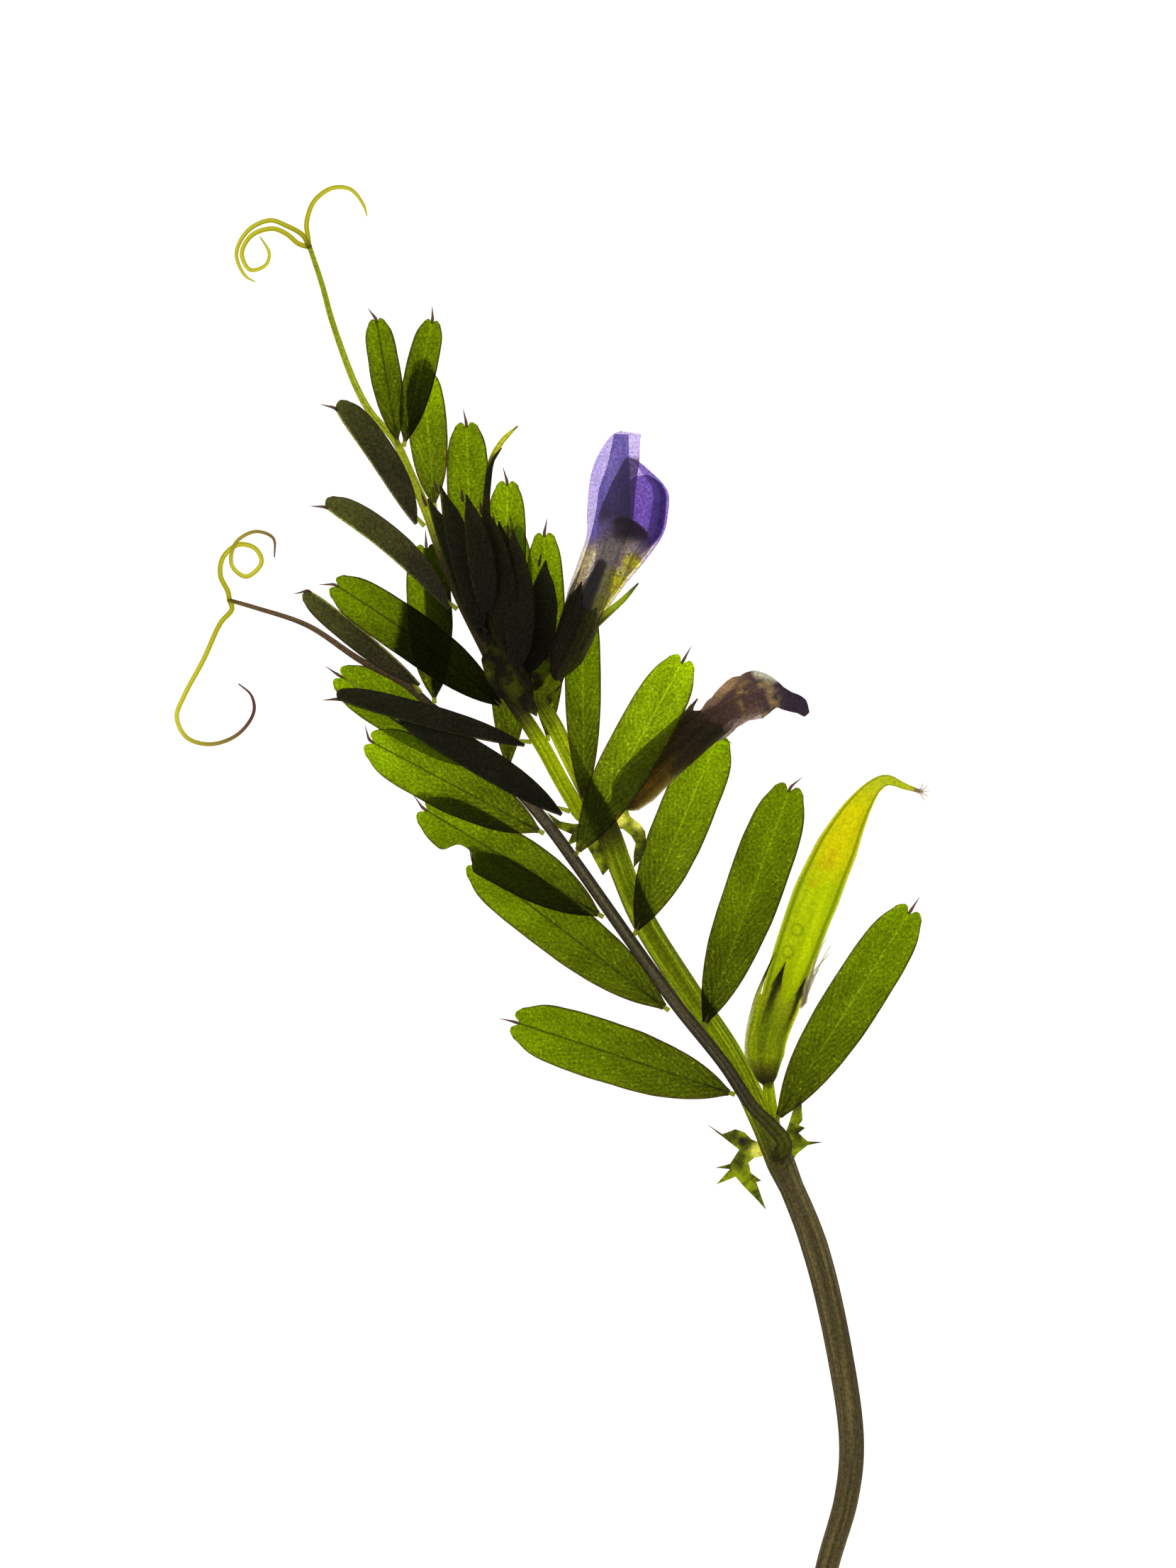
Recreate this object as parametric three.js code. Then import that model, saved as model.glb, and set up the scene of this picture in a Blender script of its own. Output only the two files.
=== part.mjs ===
// A flowering sprig of common vetch (Vicia sativa), cut and laid flat.
//
// Millimetres, +Z up. The sprig lies on the plane z = 0 with its cut end towards -Y and its
// tendrils towards +Y. The origin is the middle of its bounding box, on that plane.
//
// A long thin piece is a straight prism, a flat one is a box and a cup is a lathe turning; each is
// then bent along a curve, its spine. Directions in plan are bearings in degrees from +X towards +Y.

import * as THREE from 'three';

// Driving dimensions.
const GAP = 0.3; // clearance where two pieces that grew together meet
const LEAF_THICKNESS = 0.3;
const FOLDED_THICKNESS = 0.45; // both halves of a leaflet that is folded along its midrib
const PETAL_THICKNESS = 0.25;
const STIPULE_THICKNESS = 0.35;
const CUP_WALL = 0.22; // wall of a calyx
const AWN_LENGTH = 1.25; // fine point that ends each leaflet
const AWN_HALF_WIDTH = 0.1;
const STEM_STEP = 2.2; // length of stem or leaf stalk between two rings of vertices
const TENDRIL_STEP = 0.9;
const TENDRIL_RADII = [[0, 0.19], [9, 0.15], [17, 0.07]];

const UP = new THREE.Vector3(0, 0, 1);
const sprig = new THREE.Group();

// ---------------------------------------------------------------- materials

function living(color, roughness = 0.55) {
  return new THREE.MeshStandardMaterial({ color, roughness, metalness: 0 });
}

const materials = {
  stem: living(0x7a8a2c),
  leaf: living(0x5f8a12),
  tendril: living(0xb4b43c),
  stipule: living(0x5c690e),
  standard: living(0x9a8cae, 0.6),
  wing: living(0x7c5cb1, 0.6),
  keel: living(0x37275d, 0.6),
  calyx: living(0x8d8a2a),
  withered: living(0x4a3a2a, 0.8),
  pod: living(0xb2c204),
  straw: living(0xcfc9b0, 0.8),
};

// ---------------------------------------------------------------- shared shapes

function spline(points) {
  const through = points.map((point) => new THREE.Vector3(...point));
  return new THREE.CatmullRomCurve3(through, false, 'centripetal');
}

// The value at a distance in a list of [distance, value] pairs, straight between them.
function valueAt(pairs, distance) {
  const next = pairs.findIndex(([reach]) => reach >= distance);
  if (next < 0) return pairs[pairs.length - 1][1];
  if (next === 0) return pairs[0][1];
  const [[from, low], [to, high]] = [pairs[next - 1], pairs[next]];
  return THREE.MathUtils.mapLinear(distance, from, to, low, high);
}

// The spine's point and directions at a share of its length. A roll lifts the left side.
function frameAt(spine, share, roll = 0) {
  const t = THREE.MathUtils.clamp(share, 0, 1);
  const at = spine.getPointAt(t);
  const along = spine.getTangentAt(t);
  const right = new THREE.Vector3().crossVectors(along, UP).normalize();
  right.applyAxisAngle(along, THREE.MathUtils.degToRad(roll));
  const up = new THREE.Vector3().crossVectors(right, along);
  return { at, along, right, up };
}

// A frame's origin moved by a distance to its right and a distance up.
function offset({ at, right, up }, aside, above) {
  return at.clone().addScaledVector(right, aside).addScaledVector(up, above);
}

function reshape(geometry, place) {
  const positions = geometry.getAttribute('position');
  for (let i = 0; i < positions.count; i += 1) {
    const moved = place(positions.getX(i), positions.getY(i), positions.getZ(i));
    positions.setXYZ(i, moved.x, moved.y, moved.z);
  }
  geometry.computeVertexNormals();
  return geometry;
}

function addPiece(name, geometry, material) {
  const piece = new THREE.Mesh(geometry, material);
  piece.name = name;
  sprig.add(piece);
  return piece;
}

// A round or flattened stalk. Half widths and half depths are [distance, size] pairs. With
// lying set, the spine is the line that the stalk lies on instead of its middle.
function stalk({ spine, halfWidths, flatness = 1, sides = 8, step = STEM_STEP, lying = false }) {
  const length = spine.getLength();
  const ring = Array.from({ length: sides }, (_, side) => {
    const angle = ((side + 0.5) / sides) * 2 * Math.PI;
    return new THREE.Vector2(Math.cos(angle), Math.sin(angle));
  });
  const flat = Math.cos(Math.PI / sides);
  const prism = new THREE.ExtrudeGeometry(new THREE.Shape(ring), {
    depth: 1,
    steps: Math.ceil(length / step),
    bevelEnabled: false,
  });
  return reshape(prism, (x, y, t) => {
    const half = valueAt(halfWidths, t * length);
    const lift = lying ? half * flatness * flat : 0;
    return offset(frameAt(spine, t), -x * half, y * half * flatness + lift);
  });
}

// A thin blade. Its outline gives the half width at a share of its length, and each half is folded
// up by the fold angle. An awn is a fine point past the tip, turned from the blade's direction.
function blade({ spine, halfWidthAt, thickness, fold = 0, roll = 0, rows = 8, columns = 2, awn = null }) {
  const allRows = rows + (awn ? 2 : 0);
  const box = new THREE.BoxGeometry(2, 1, 1, columns, allRows, 1);
  const slope = THREE.MathUtils.degToRad(fold);
  const pointAlong = frameAt(spine, 1).along.applyAxisAngle(UP, THREE.MathUtils.degToRad(awn ? awn.turn : 0));
  return reshape(box, (x, y, z) => {
    const row = (y + 0.5) * allRows;
    const t = Math.min(1, row / rows);
    const past = Math.max(0, row - rows) / 2;
    const half = past > 0 ? AWN_HALF_WIDTH * (1.3 - past) : halfWidthAt(t, Math.sign(x));
    const thick = past > 0.9 ? thickness / 3 : thickness;
    const above = Math.abs(x) * half * Math.sin(slope) + (z * thick) / Math.cos(slope);
    const placed = offset(frameAt(spine, t, roll), x * half * Math.cos(slope), above);
    const forward = past > 0.9 ? awn.length : past * 0.2;
    return placed.addScaledVector(pointAlong, forward);
  });
}

// A petal that wraps the flower's axis as part of an oval tube, open on its right side.
function wrappedPetal({ spine, spreadAt, depthAt, angleAt, thickness, rows, columns }) {
  const box = new THREE.BoxGeometry(2, 1, 1, columns, rows, 1);
  return reshape(box, (x, y, z) => {
    const t = y + 0.5;
    const angle = x * THREE.MathUtils.degToRad(angleAt(t));
    const spread = spreadAt(t) + z * thickness;
    const depth = depthAt(t) + z * thickness;
    return offset(frameAt(spine, t), -Math.cos(angle) * spread, Math.sin(angle) * depth);
  });
}

// A calyx: a thin cup along its spine, whose rim is drawn out into five teeth.
function cup({ spine, halfWidths, mouth, flatness, toothTurn }) {
  const length = spine.getLength();
  const teeth = 5;
  const segments = teeth * 4;
  const floor = 0.12 * length;
  const stations = [0.03, 0.12, 0.35, 0.6, 0.8, 1].map((share) => share * mouth);
  const outer = stations.map((y) => new THREE.Vector2(valueAt(halfWidths, y), y));
  const tip = new THREE.Vector2(valueAt(halfWidths, mouth) * 0.92, length);
  const inside = stations.filter((y) => y > floor + CUP_WALL).reverse();
  const inner = inside.map((y) => new THREE.Vector2(valueAt(halfWidths, y) - CUP_WALL, y));
  const base = new THREE.Vector2(0, 0);
  const pit = new THREE.Vector2(0, floor + CUP_WALL);
  const profile = [base, ...outer, tip, ...inner, pit];
  const turned = new THREE.LatheGeometry(profile, segments);
  return reshape(turned, (x, y, z) => {
    const angle = Math.atan2(z, x) + THREE.MathUtils.degToRad(toothTurn);
    const tooth = Math.max(0.06, Math.cos(teeth * angle));
    const reach = y > mouth + 0.01 ? mouth + (y - mouth) * tooth : y;
    return offset(frameAt(spine, reach / length), x, z * flatness);
  });
}

// A toothed plate such as a stipule, from its outline in plan, raised to a height.
function plate(outline, height, thickness) {
  const shape = new THREE.Shape(outline.map(([x, y]) => new THREE.Vector2(x, y)));
  const slab = new THREE.ExtrudeGeometry(shape, { depth: thickness, bevelEnabled: false });
  return reshape(slab, (x, y, z) => new THREE.Vector3(x, y, z + height));
}

// ---------------------------------------------------------------- stem

const stemSpine = spline([
  [20.1, -57.3, 0],
  [21.6, -49.8, 0],
  [23.1, -44.4, 0],
  [23.5, -40.2, 0],
  [22.6, -33.3, 0],
  [20.6, -24.8, 0],
  [18.0, -18.4, 0],
  [14.2, -10.2, 0],
  [11.0, -5.4, 0],
  [7.3, 0.5, 0],
  [5.8, 4.0, 0],
  [4.7, 7.0, 0.02],
  [3.4, 9.7, 0.25],
  [2.4, 11.6, 0.8],
  [1.3, 13.75, 1.8],
  [0.45, 15.5, 2.7],
  [-0.6, 17.4, 3.6],
  [-0.7, 18.5, 4.2],
]);
const STEM_RADII = [
  [0, 0.82], [16, 0.96], [33, 1.04], [38, 0.94], [40, 1.1], [43, 0.96],
  [68, 0.93], [70.5, 1.0], [73, 0.6], [77, 0.53], [82, 0.5],
];

function addStem() {
  const geometry = stalk({ spine: stemSpine, halfWidths: STEM_RADII, sides: 12, lying: true });
  addPiece('stem', geometry, materials.stem);
}

// ---------------------------------------------------------------- pinnate leaves

const leafA = {
  spine: spline([
    [18.3, -16.7, 2.35],
    [17.2, -15.4, 2.75],
    [15.8, -14.0, 2.85],
    [13.6, -10.7, 2.85],
    [10.0, -6.2, 2.75],
    [6.4, -1.2, 2.7],
    [2.1, 4.9, 2.65],
    [-0.1, 7.9, 2.35],
    [-3.2, 11.4, 1.7],
    [-7.4, 15.2, 1.35],
    [-10.9, 18.6, 1.1],
    [-14.6, 20.6, 0.9],
    [-18.7, 23.3, 0.65],
    [-22.8, 24.7, 0.4],
    [-24.9, 25.3, 0.32],
  ]),
  radii: [[0, 0.5], [30, 0.45], [45, 0.35], [56, 0.22], [62, 0.17]],
};

const leafB = {
  spine: spline([
    [2.4, 8.75, 2.1],
    [1.9, 9.7, 2.3],
    [0.9, 11.4, 2.65],
    [-0.4, 13.8, 3.05],
    [-1.6, 15.7, 3.3],
    [-3.1, 17.9, 3.5],
    [-4.6, 21.0, 3.6],
    [-6.8, 25.4, 3.5],
    [-8.2, 28.7, 3.2],
    [-9.3, 31.8, 2.9],
    [-10.7, 35.0, 2.4],
    [-11.9, 37.6, 2.1],
    [-13.8, 39.8, 1.8],
    [-15.0, 42.0, 1.5],
    [-16.8, 46.9, 0.9],
    [-17.6, 49.8, 0.65],
    [-18.6, 52.8, 0.5],
  ]),
  radii: [[0, 0.52], [25, 0.42], [33, 0.3], [50, 0.2]],
};

const youngLeaf = {
  spine: spline([
    [-1.7, 18.9, 4.6],
    [-3.0, 21.0, 4.9],
    [-4.4, 23.5, 5.0],
    [-5.0, 27.0, 4.9],
    [-4.9, 31.0, 4.6],
    [-4.7, 34.0, 4.2],
    [-4.4, 36.0, 3.8],
    [-3.6, 37.5, 3.3],
    [-2.4, 38.7, 2.9],
  ]),
  radii: [[0, 0.3], [12, 0.2], [18, 0.12], [22, 0.06]],
};

const LEFT = -1;
const RIGHT = 1;

// Share of the full half width along a leaflet: a wedge from its short stalk, then nearly even.
function oblong(t) {
  const narrow = 0.1;
  const rising = narrow + (1 - narrow) * Math.sin(Math.min(1, t / 0.62) * Math.PI * 0.5) ** 1.15;
  const falling = 1 - 0.55 * Math.max(0, (t - 0.62) / 0.38) ** 2.6;
  return rising * falling;
}

// A leaflet at a distance along a leaf's stalk. Heights are those of its middle and its tip, seat is
// the angle up the stalk's flank that it grows from, and bow moves its middle to the left.
function leaflet(leaf, {
  at, side, length, width, bearing, heights, awnTurn = 0, fold = 8, roll = 0, seat = 0, bow = 0,
  folded = false, bite = null, awnLength = AWN_LENGTH, rows = 8,
}) {
  const clear = valueAt(leaf.radii, at) + GAP + AWN_HALF_WIDTH;
  const up = THREE.MathUtils.degToRad(seat);
  const frame = frameAt(leaf.spine, at / leaf.spine.getLength());
  const base = offset(frame, side * clear * Math.cos(up), clear * Math.sin(up));
  const heading = new THREE.Vector3(1, 0, 0).applyAxisAngle(UP, THREE.MathUtils.degToRad(bearing));
  const tip = base.clone().addScaledVector(heading, length).setZ(heights[1]);
  const middle = base.clone().lerp(tip, 0.5).setZ(heights[0]);
  middle.addScaledVector(new THREE.Vector3().crossVectors(UP, heading), bow);
  // The curve passes through the middle, so its control point lies twice as far out.
  const control = middle.clone().multiplyScalar(2).addScaledVector(base, -0.5).addScaledVector(tip, -0.5);
  return blade({
    spine: new THREE.QuadraticBezierCurve3(base, control, tip),
    thickness: folded ? FOLDED_THICKNESS : LEAF_THICKNESS,
    fold: folded ? 0 : fold,
    roll,
    rows,
    awn: { length: awnLength, turn: awnTurn },
    halfWidthAt: (t, half) => {
      const bitten = bite && half === bite.side && Math.abs(t - bite.at) < bite.span;
      return Math.max(AWN_HALF_WIDTH, (width / 2) * oblong(t) * (bitten ? bite.left : 1));
    },
  });
}

const leafletsA = [
  { at: 5.8, side: LEFT, length: 17.5, width: 4.8, bearing: 162, heights: [1.2, 0.2], roll: 6, awnTurn: 5 },
  { at: 14.2, side: LEFT, length: 18.6, width: 4.6, bearing: 143, heights: [1.5, 0.45], roll: 12, awnTurn: -39 },
  {
    at: 23.0, side: LEFT, length: 15.9, width: 4.6, bearing: 149, heights: [1.5, 0.5], roll: 12,
    awnTurn: -24, bite: { side: LEFT, at: 0.87, span: 0.07, left: 0.6 },
  },
  { at: 31.0, side: LEFT, length: 14.9, width: 4.4, bearing: 152, heights: [1.5, 1.0], awnTurn: -46 },
  {
    at: 37.4, side: LEFT, length: 13.8, width: 4.0, bearing: 149, heights: [0.26, 0.16], fold: 4,
    seat: -75, awnTurn: -3,
  },
  {
    at: 45.6, side: LEFT, length: 11.3, width: 1.65, bearing: 141, heights: [1.7, 1.1], folded: true,
    seat: 115, awnTurn: 51,
  },
  { at: 2.0, side: RIGHT, length: 19.0, width: 4.4, bearing: 57, heights: [1.0, 0.2] },
  { at: 11.3, side: RIGHT, length: 19.4, width: 4.5, bearing: 70, heights: [2.0, 0.6], awnTurn: -31 },
  { at: 20.3, side: RIGHT, length: 16.3, width: 4.3, bearing: 67, heights: [1.6, 0.26], awnTurn: -95 },
  { at: 27.9, side: RIGHT, length: 16.9, width: 4.2, bearing: 61, heights: [3.55, 2.9], seat: 35 },
  { at: 36.4, side: RIGHT, length: 18.5, width: 3.4, bearing: 89, heights: [1.45, 1.5], awnTurn: 15 },
  { at: 44.2, side: RIGHT, length: 11.8, width: 3.5, bearing: 93, heights: [1.4, 1.2], seat: 20 },
];

const leafletsB = [
  {
    at: 1.0, side: LEFT, length: 14.4, width: 2.1, bearing: 149, heights: [2.9, 1.9], folded: true,
    seat: 20,
  },
  {
    at: 7.2, side: LEFT, length: 14.9, width: 1.6, bearing: 165, heights: [3.3, 2.7], folded: true,
    seat: 20, awnTurn: 18,
  },
  {
    at: 10.6, side: LEFT, length: 15.9, width: 3.7, bearing: 144, heights: [3.0, 1.8], fold: 14,
    bow: -0.3, awnTurn: 32,
  },
  {
    at: 19.0, side: LEFT, length: 12.6, width: 2.0, bearing: 139, heights: [3.3, 2.5], folded: true,
    seat: 20, awnTurn: 26,
  },
  {
    at: 25.9, side: LEFT, length: 11.1, width: 1.7, bearing: 123, heights: [2.7, 1.9], folded: true,
    seat: 20, awnTurn: 35,
  },
  { at: 32.5, side: LEFT, length: 9.5, width: 2.4, bearing: 100, heights: [2.1, 0.9], seat: 105, awnTurn: 25 },
  { at: 1.1, side: RIGHT, length: 15.9, width: 2.8, bearing: 88, heights: [3.7, 2.2], seat: 85, awnTurn: 25 },
  { at: 6.6, side: RIGHT, length: 15.6, width: 3.0, bearing: 91, heights: [2.4, 2.1], seat: -35, awnTurn: -12 },
  { at: 13.6, side: RIGHT, length: 13.7, width: 3.1, bearing: 89, heights: [2.9, 2.1], awnTurn: 17 },
  { at: 19.0, side: RIGHT, length: 13.4, width: 3.3, bearing: 92, heights: [3.4, 2.4], awnTurn: 10 },
  { at: 26.9, side: RIGHT, length: 10.4, width: 3.0, bearing: 95, heights: [2.2, 1.1], roll: -6, awnTurn: -20 },
  { at: 32.2, side: RIGHT, length: 9.5, width: 2.4, bearing: 77, heights: [3.2, 2.5], seat: 20, awnTurn: 14 },
];

// The young leaf's leaflets are still folded lengthwise, each half pressed on the other.
const youngLeaflets = [
  { at: 4.2, side: LEFT, length: 11.7, width: 1.3, bearing: 112, heights: [4.6, 4.2], seat: -30 },
  { at: 5.2, side: LEFT, length: 11.2, width: 1.35, bearing: 105, heights: [5.5, 4.6], seat: 20 },
  { at: 6.2, side: LEFT, length: 8.9, width: 1.3, bearing: 99, heights: [6.7, 5.6], seat: 100 },
  { at: 3.4, side: RIGHT, length: 10.2, width: 1.3, bearing: 98, heights: [5.9, 5.3], seat: 40 },
  { at: 2.4, side: RIGHT, length: 9.8, width: 1.3, bearing: 96, heights: [4.9, 4.4], seat: -20 },
  { at: 1.3, side: RIGHT, length: 10.3, width: 1.25, bearing: 91, heights: [5.85, 5.1], seat: 70 },
  { at: 0.3, side: RIGHT, length: 8.5, width: 1.25, bearing: 79, heights: [4.4, 3.6], seat: -40 },
];

function addLeaf(name, leaf, sides) {
  addPiece(`${name}_stalk`, stalk({ spine: leaf.spine, halfWidths: leaf.radii }), materials.stem);
  const counts = { [LEFT]: 0, [RIGHT]: 0 };
  for (const one of sides) {
    counts[one.side] += 1;
    const where = one.side === LEFT ? 'left' : 'right';
    addPiece(`${name}_leaflet_${where}_${counts[one.side]}`, leaflet(leaf, one), materials.leaf);
  }
}

function addYoungLeaf() {
  const folded = youngLeaflets.map((one) => ({ ...one, folded: true, awnLength: 0.9, rows: 6 }));
  addLeaf('young_leaf', youngLeaf, folded);
}

// ---------------------------------------------------------------- tendrils

// Fine branches past the end of each leaf stalk. Where a coil crosses itself it is lifted.
const tendrils = {
  leaf_a_tendril_upper: [
    [-24.9, 25.9, 0.35], [-25.5, 27.2, 0.25], [-25.3, 28.6, 0.25], [-24.1, 29.6, 0.3],
    [-22.8, 29.3, 0.4], [-22.3, 28.2, 0.5], [-23.5, 27.1, 0.65], [-24.6, 28.0, 0.8],
    [-24.3, 29.7, 0.95], [-22.8, 30.6, 0.7], [-21.4, 30.1, 0.4], [-21.3, 28.6, 0.2],
  ],
  leaf_a_tendril_lower: [
    [-24.6, 24.6, 0.4], [-25.5, 23.5, 0.35], [-26.8, 20.7, 0.25], [-28.3, 17.9, 0.2],
    [-28.9, 16.2, 0.2], [-28.1, 14.6, 0.2], [-26.2, 14.1, 0.25], [-24.1, 14.9, 0.35],
    [-22.9, 16.6, 0.5], [-23.1, 17.9, 0.6], [-24.1, 18.8, 0.7],
  ],
  leaf_b_tendril_right: [
    [-18.7, 53.5, 0.5], [-18.8, 54.6, 0.45], [-18.2, 56.3, 0.35], [-16.8, 57.3, 0.3],
    [-15.4, 57.2, 0.3], [-14.4, 56.0, 0.4], [-14.1, 55.1, 0.5],
  ],
  leaf_b_tendril_outer: [
    [-19.1, 53.6, 0.95], [-20.4, 54.35, 0.9], [-21.6, 54.75, 0.85], [-23.3, 54.0, 0.75],
    [-24.25, 52.2, 0.6], [-23.6, 50.5, 0.4], [-22.8, 50.0, 0.3],
  ],
  leaf_b_tendril_inner: [
    [-19.4, 52.95, 0.4], [-20.4, 53.75, 0.35], [-21.5, 54.15, 0.25], [-23.1, 53.6, 0.2],
    [-23.85, 52.2, 0.2], [-23.2, 50.95, 0.25], [-22.0, 51.3, 0.35], [-21.7, 52.2, 0.5],
    [-22.4, 53.5, 0.8],
  ],
};

function addTendrils() {
  for (const [name, points] of Object.entries(tendrils)) {
    const shape = { spine: spline(points), halfWidths: TENDRIL_RADII, sides: 6, step: TENDRIL_STEP };
    addPiece(name, stalk(shape), materials.tendril);
  }
}

// ---------------------------------------------------------------- stipules

// The toothed pair at each node, each hanging from a narrow neck beside the stem.
const stipules = {
  stipule_lower_left: [
    [16.1, -17.3], [15.75, -16.6], [15.2, -16.05], [14.5, -15.8], [13.5, -16.2], [12.4, -15.5],
    [13.9, -16.7], [14.8, -17.4], [14.1, -18.5], [12.9, -18.8], [14.1, -18.9], [13.0, -20.1],
    [14.5, -19.5], [15.3, -20.4], [16.1, -21.2], [16.9, -22.1], [16.1, -19.9], [16.5, -19.8],
    [15.7, -19.2], [15.5, -18.4], [16.0, -18.0],
  ],
  stipule_lower_right: [
    [19.35, -18.5], [19.3, -17.7], [20.1, -17.05], [21.3, -16.8], [20.1, -16.75], [19.4, -16.1],
    [19.9, -15.7], [19.4, -15.5], [19.7, -15.1], [19.6, -13.1], [18.95, -14.4], [18.65, -15.4],
    [18.9, -16.6],
  ],
  stipule_upper_left: [
    [2.9, 7.5], [1.9, 7.9], [0.9, 8.1], [-0.2, 8.85], [0.7, 7.6], [1.8, 7.1], [1.4, 6.2],
    [2.6, 6.7], [3.3, 5.6], [4.2, 3.9], [3.9, 5.8],
  ],
  stipule_upper_right: [
    [6.2, 7.7], [6.6, 8.3], [7.05, 7.9], [7.35, 7.4], [7.55, 6.5], [7.0, 5.6], [6.6, 4.6],
    [6.45, 6.0], [6.15, 6.8],
  ],
};
const STIPULE_HEIGHT = 0.25;

function addStipules() {
  for (const [name, outline] of Object.entries(stipules)) {
    addPiece(name, plate(outline, STIPULE_HEIGHT, STIPULE_THICKNESS), materials.stipule);
  }
}

// ---------------------------------------------------------------- open flower

const flowerCalyxSpine = spline([[0.4, 18.9, 4.8], [1.4, 20.2, 5.2], [2.6, 22.4, 5.35], [4.0, 25.7, 5.1]]);
const flowerSpine = spline([
  [2.4, 22.3, 5.35],
  [3.7, 25.4, 5.1],
  [4.9, 29.0, 4.4],
  [5.6, 33.0, 3.4],
  [6.0, 38.1, 2.4],
]);
const wingRoots = [[1.9, 21.1], [4.3, 26.6], [6.1, 30.4], [6.9, 32.8], [6.4, 37.2]];
const WING_HEIGHTS = [5.25, 4.9, 4.0, 3.4, 2.5];
const WING_SPREAD = [0.35, 0.55, 0.8, 0.85, 0.55];

function addOpenFlower() {
  const calyx = cup({
    spine: flowerCalyxSpine,
    halfWidths: [[0, 0.45], [1.2, 0.6], [2.2, 1.5], [4.0, 1.85], [5.4, 2.0]],
    mouth: 5.0,
    flatness: 0.95,
    toothTurn: 18,
  });
  addPiece('flower_calyx', calyx, materials.calyx);

  const standard = wrappedPetal({
    spine: flowerSpine,
    thickness: PETAL_THICKNESS,
    rows: 8,
    columns: 8,
    spreadAt: (t) => valueAt([[0, 1.15], [0.2, 1.3], [0.45, 2.0], [0.75, 2.1], [1, 1.0]], t),
    depthAt: (t) => valueAt([[0, 1.15], [0.2, 1.3], [0.45, 1.65], [0.8, 1.5], [1, 0.9]], t),
    angleAt: (t) => valueAt([[0, 100], [0.2, 105], [0.55, 112], [0.85, 100], [1, 55]], t),
  });
  addPiece('flower_standard', standard, materials.standard);

  for (const [name, side] of [['flower_wing_upper', 1], ['flower_wing_lower', -1]]) {
    const path = wingRoots.map(([x, y], i) => [x, y, WING_HEIGHTS[i] + side * WING_SPREAD[i]]);
    const wing = blade({
      spine: spline(path),
      thickness: PETAL_THICKNESS,
      rows: 8,
      halfWidthAt: (t) => valueAt([[0, 0.45], [0.3, 0.6], [0.5, 1.5], [0.7, 2.3], [0.9, 1.7], [1, 0.7]], t),
    });
    addPiece(name, wing, materials.wing);
  }

  const keel = stalk({
    spine: spline([[2.0, 21.4, 5.25], [4.2, 26.6, 4.9], [5.8, 29.6, 4.25], [6.6, 31.2, 3.8]]),
    halfWidths: [[0, 0.3], [5.5, 0.5], [9, 1.2], [10.5, 0.9], [11.3, 0.4]],
    flatness: 0.2,
    step: 1.2,
  });
  addPiece('flower_keel', keel, materials.keel);
}

// ---------------------------------------------------------------- withered flower

function addWitheredFlower() {
  const calyx = cup({
    spine: spline([[5.3, 9.2, 1.4], [7.6, 11.7, 1.8], [10.1, 14.0, 2.2], [13.2, 16.7, 2.2]]),
    halfWidths: [[0, 0.45], [1.2, 0.7], [3, 1.25], [8, 1.75]],
    mouth: 8.4,
    flatness: 0.62,
    toothTurn: 18,
  });
  addPiece('withered_calyx', calyx, materials.withered);

  const corolla = stalk({
    spine: spline([
      [10.7, 14.5, 2.15], [12.7, 16.2, 2.1], [14.6, 17.8, 1.8], [16.4, 18.6, 1.6], [18.4, 18.2, 1.2],
      [20.0, 16.9, 0.7],
    ]),
    halfWidths: [[0, 0.55], [2.6, 0.95], [5, 1.75], [6.5, 1.3], [8, 0.8], [9.5, 0.95], [11, 0.6]],
    flatness: 0.55,
    step: 1,
    sides: 10,
  });
  addPiece('withered_corolla', corolla, materials.withered);
}

// ---------------------------------------------------------------- pod

function addPod() {
  const calyx = cup({
    spine: spline([
      [17.9, -12.4, 1.6], [17.0, -11.3, 1.6], [16.8, -9.0, 1.6], [17.9, -5.4, 1.6], [19.1, -2.3, 1.5],
    ]),
    halfWidths: [[0, 0.5], [1.4, 0.8], [3.2, 1.75], [6.2, 1.9]],
    mouth: 7.2,
    flatness: 0.72,
    toothTurn: 0,
  });
  addPiece('pod_calyx', calyx, materials.calyx);

  const pod = stalk({
    spine: spline([
      [16.9, -9.9, 1.55], [17.3, -7.4, 1.6], [18.1, -5.0, 1.5], [19.2, -1.9, 1.2], [20.4, 1.4, 1.0],
      [21.9, 5.0, 0.95], [23.9, 9.0, 0.8], [25.4, 10.9, 0.6], [26.3, 11.3, 0.5], [27.7, 10.8, 0.35],
      [29.1, 10.35, 0.25],
    ]),
    halfWidths: [
      [0, 0.6], [2.5, 1.0], [5, 1.35], [8, 1.5], [13, 1.8], [17, 1.65], [20, 1.15], [22.5, 0.7],
      [24.5, 0.35], [27, 0.2],
    ],
    flatness: 0.52,
    sides: 10,
    step: 1.4,
  });
  addPiece('pod', pod, materials.pod);

  const threads = blade({
    spine: spline([[20.45, -5.2, 1.6], [21.15, -3.3, 1.5], [21.7, -1.2, 1.2]]),
    thickness: 0.2,
    rows: 4,
    roll: -30,
    halfWidthAt: (t) => valueAt([[0, 0.35], [0.6, 0.3], [1, 0.12]], t),
  });
  addPiece('pod_dry_stamens', threads, materials.straw);
}

// ---------------------------------------------------------------- the sprig

addStem();
addLeaf('leaf_a', leafA, leafletsA);
addLeaf('leaf_b', leafB, leafletsB);
addYoungLeaf();
addTendrils();
addStipules();
addOpenFlower();
addWitheredFlower();
addPod();

const bounds = new THREE.Box3().setFromObject(sprig);
const middle = bounds.getCenter(new THREE.Vector3());
sprig.position.set(-middle.x, -middle.y, -bounds.min.z);

export default sprig;
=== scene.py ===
import math
import bpy
from mathutils import Matrix, Vector, noise


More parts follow.
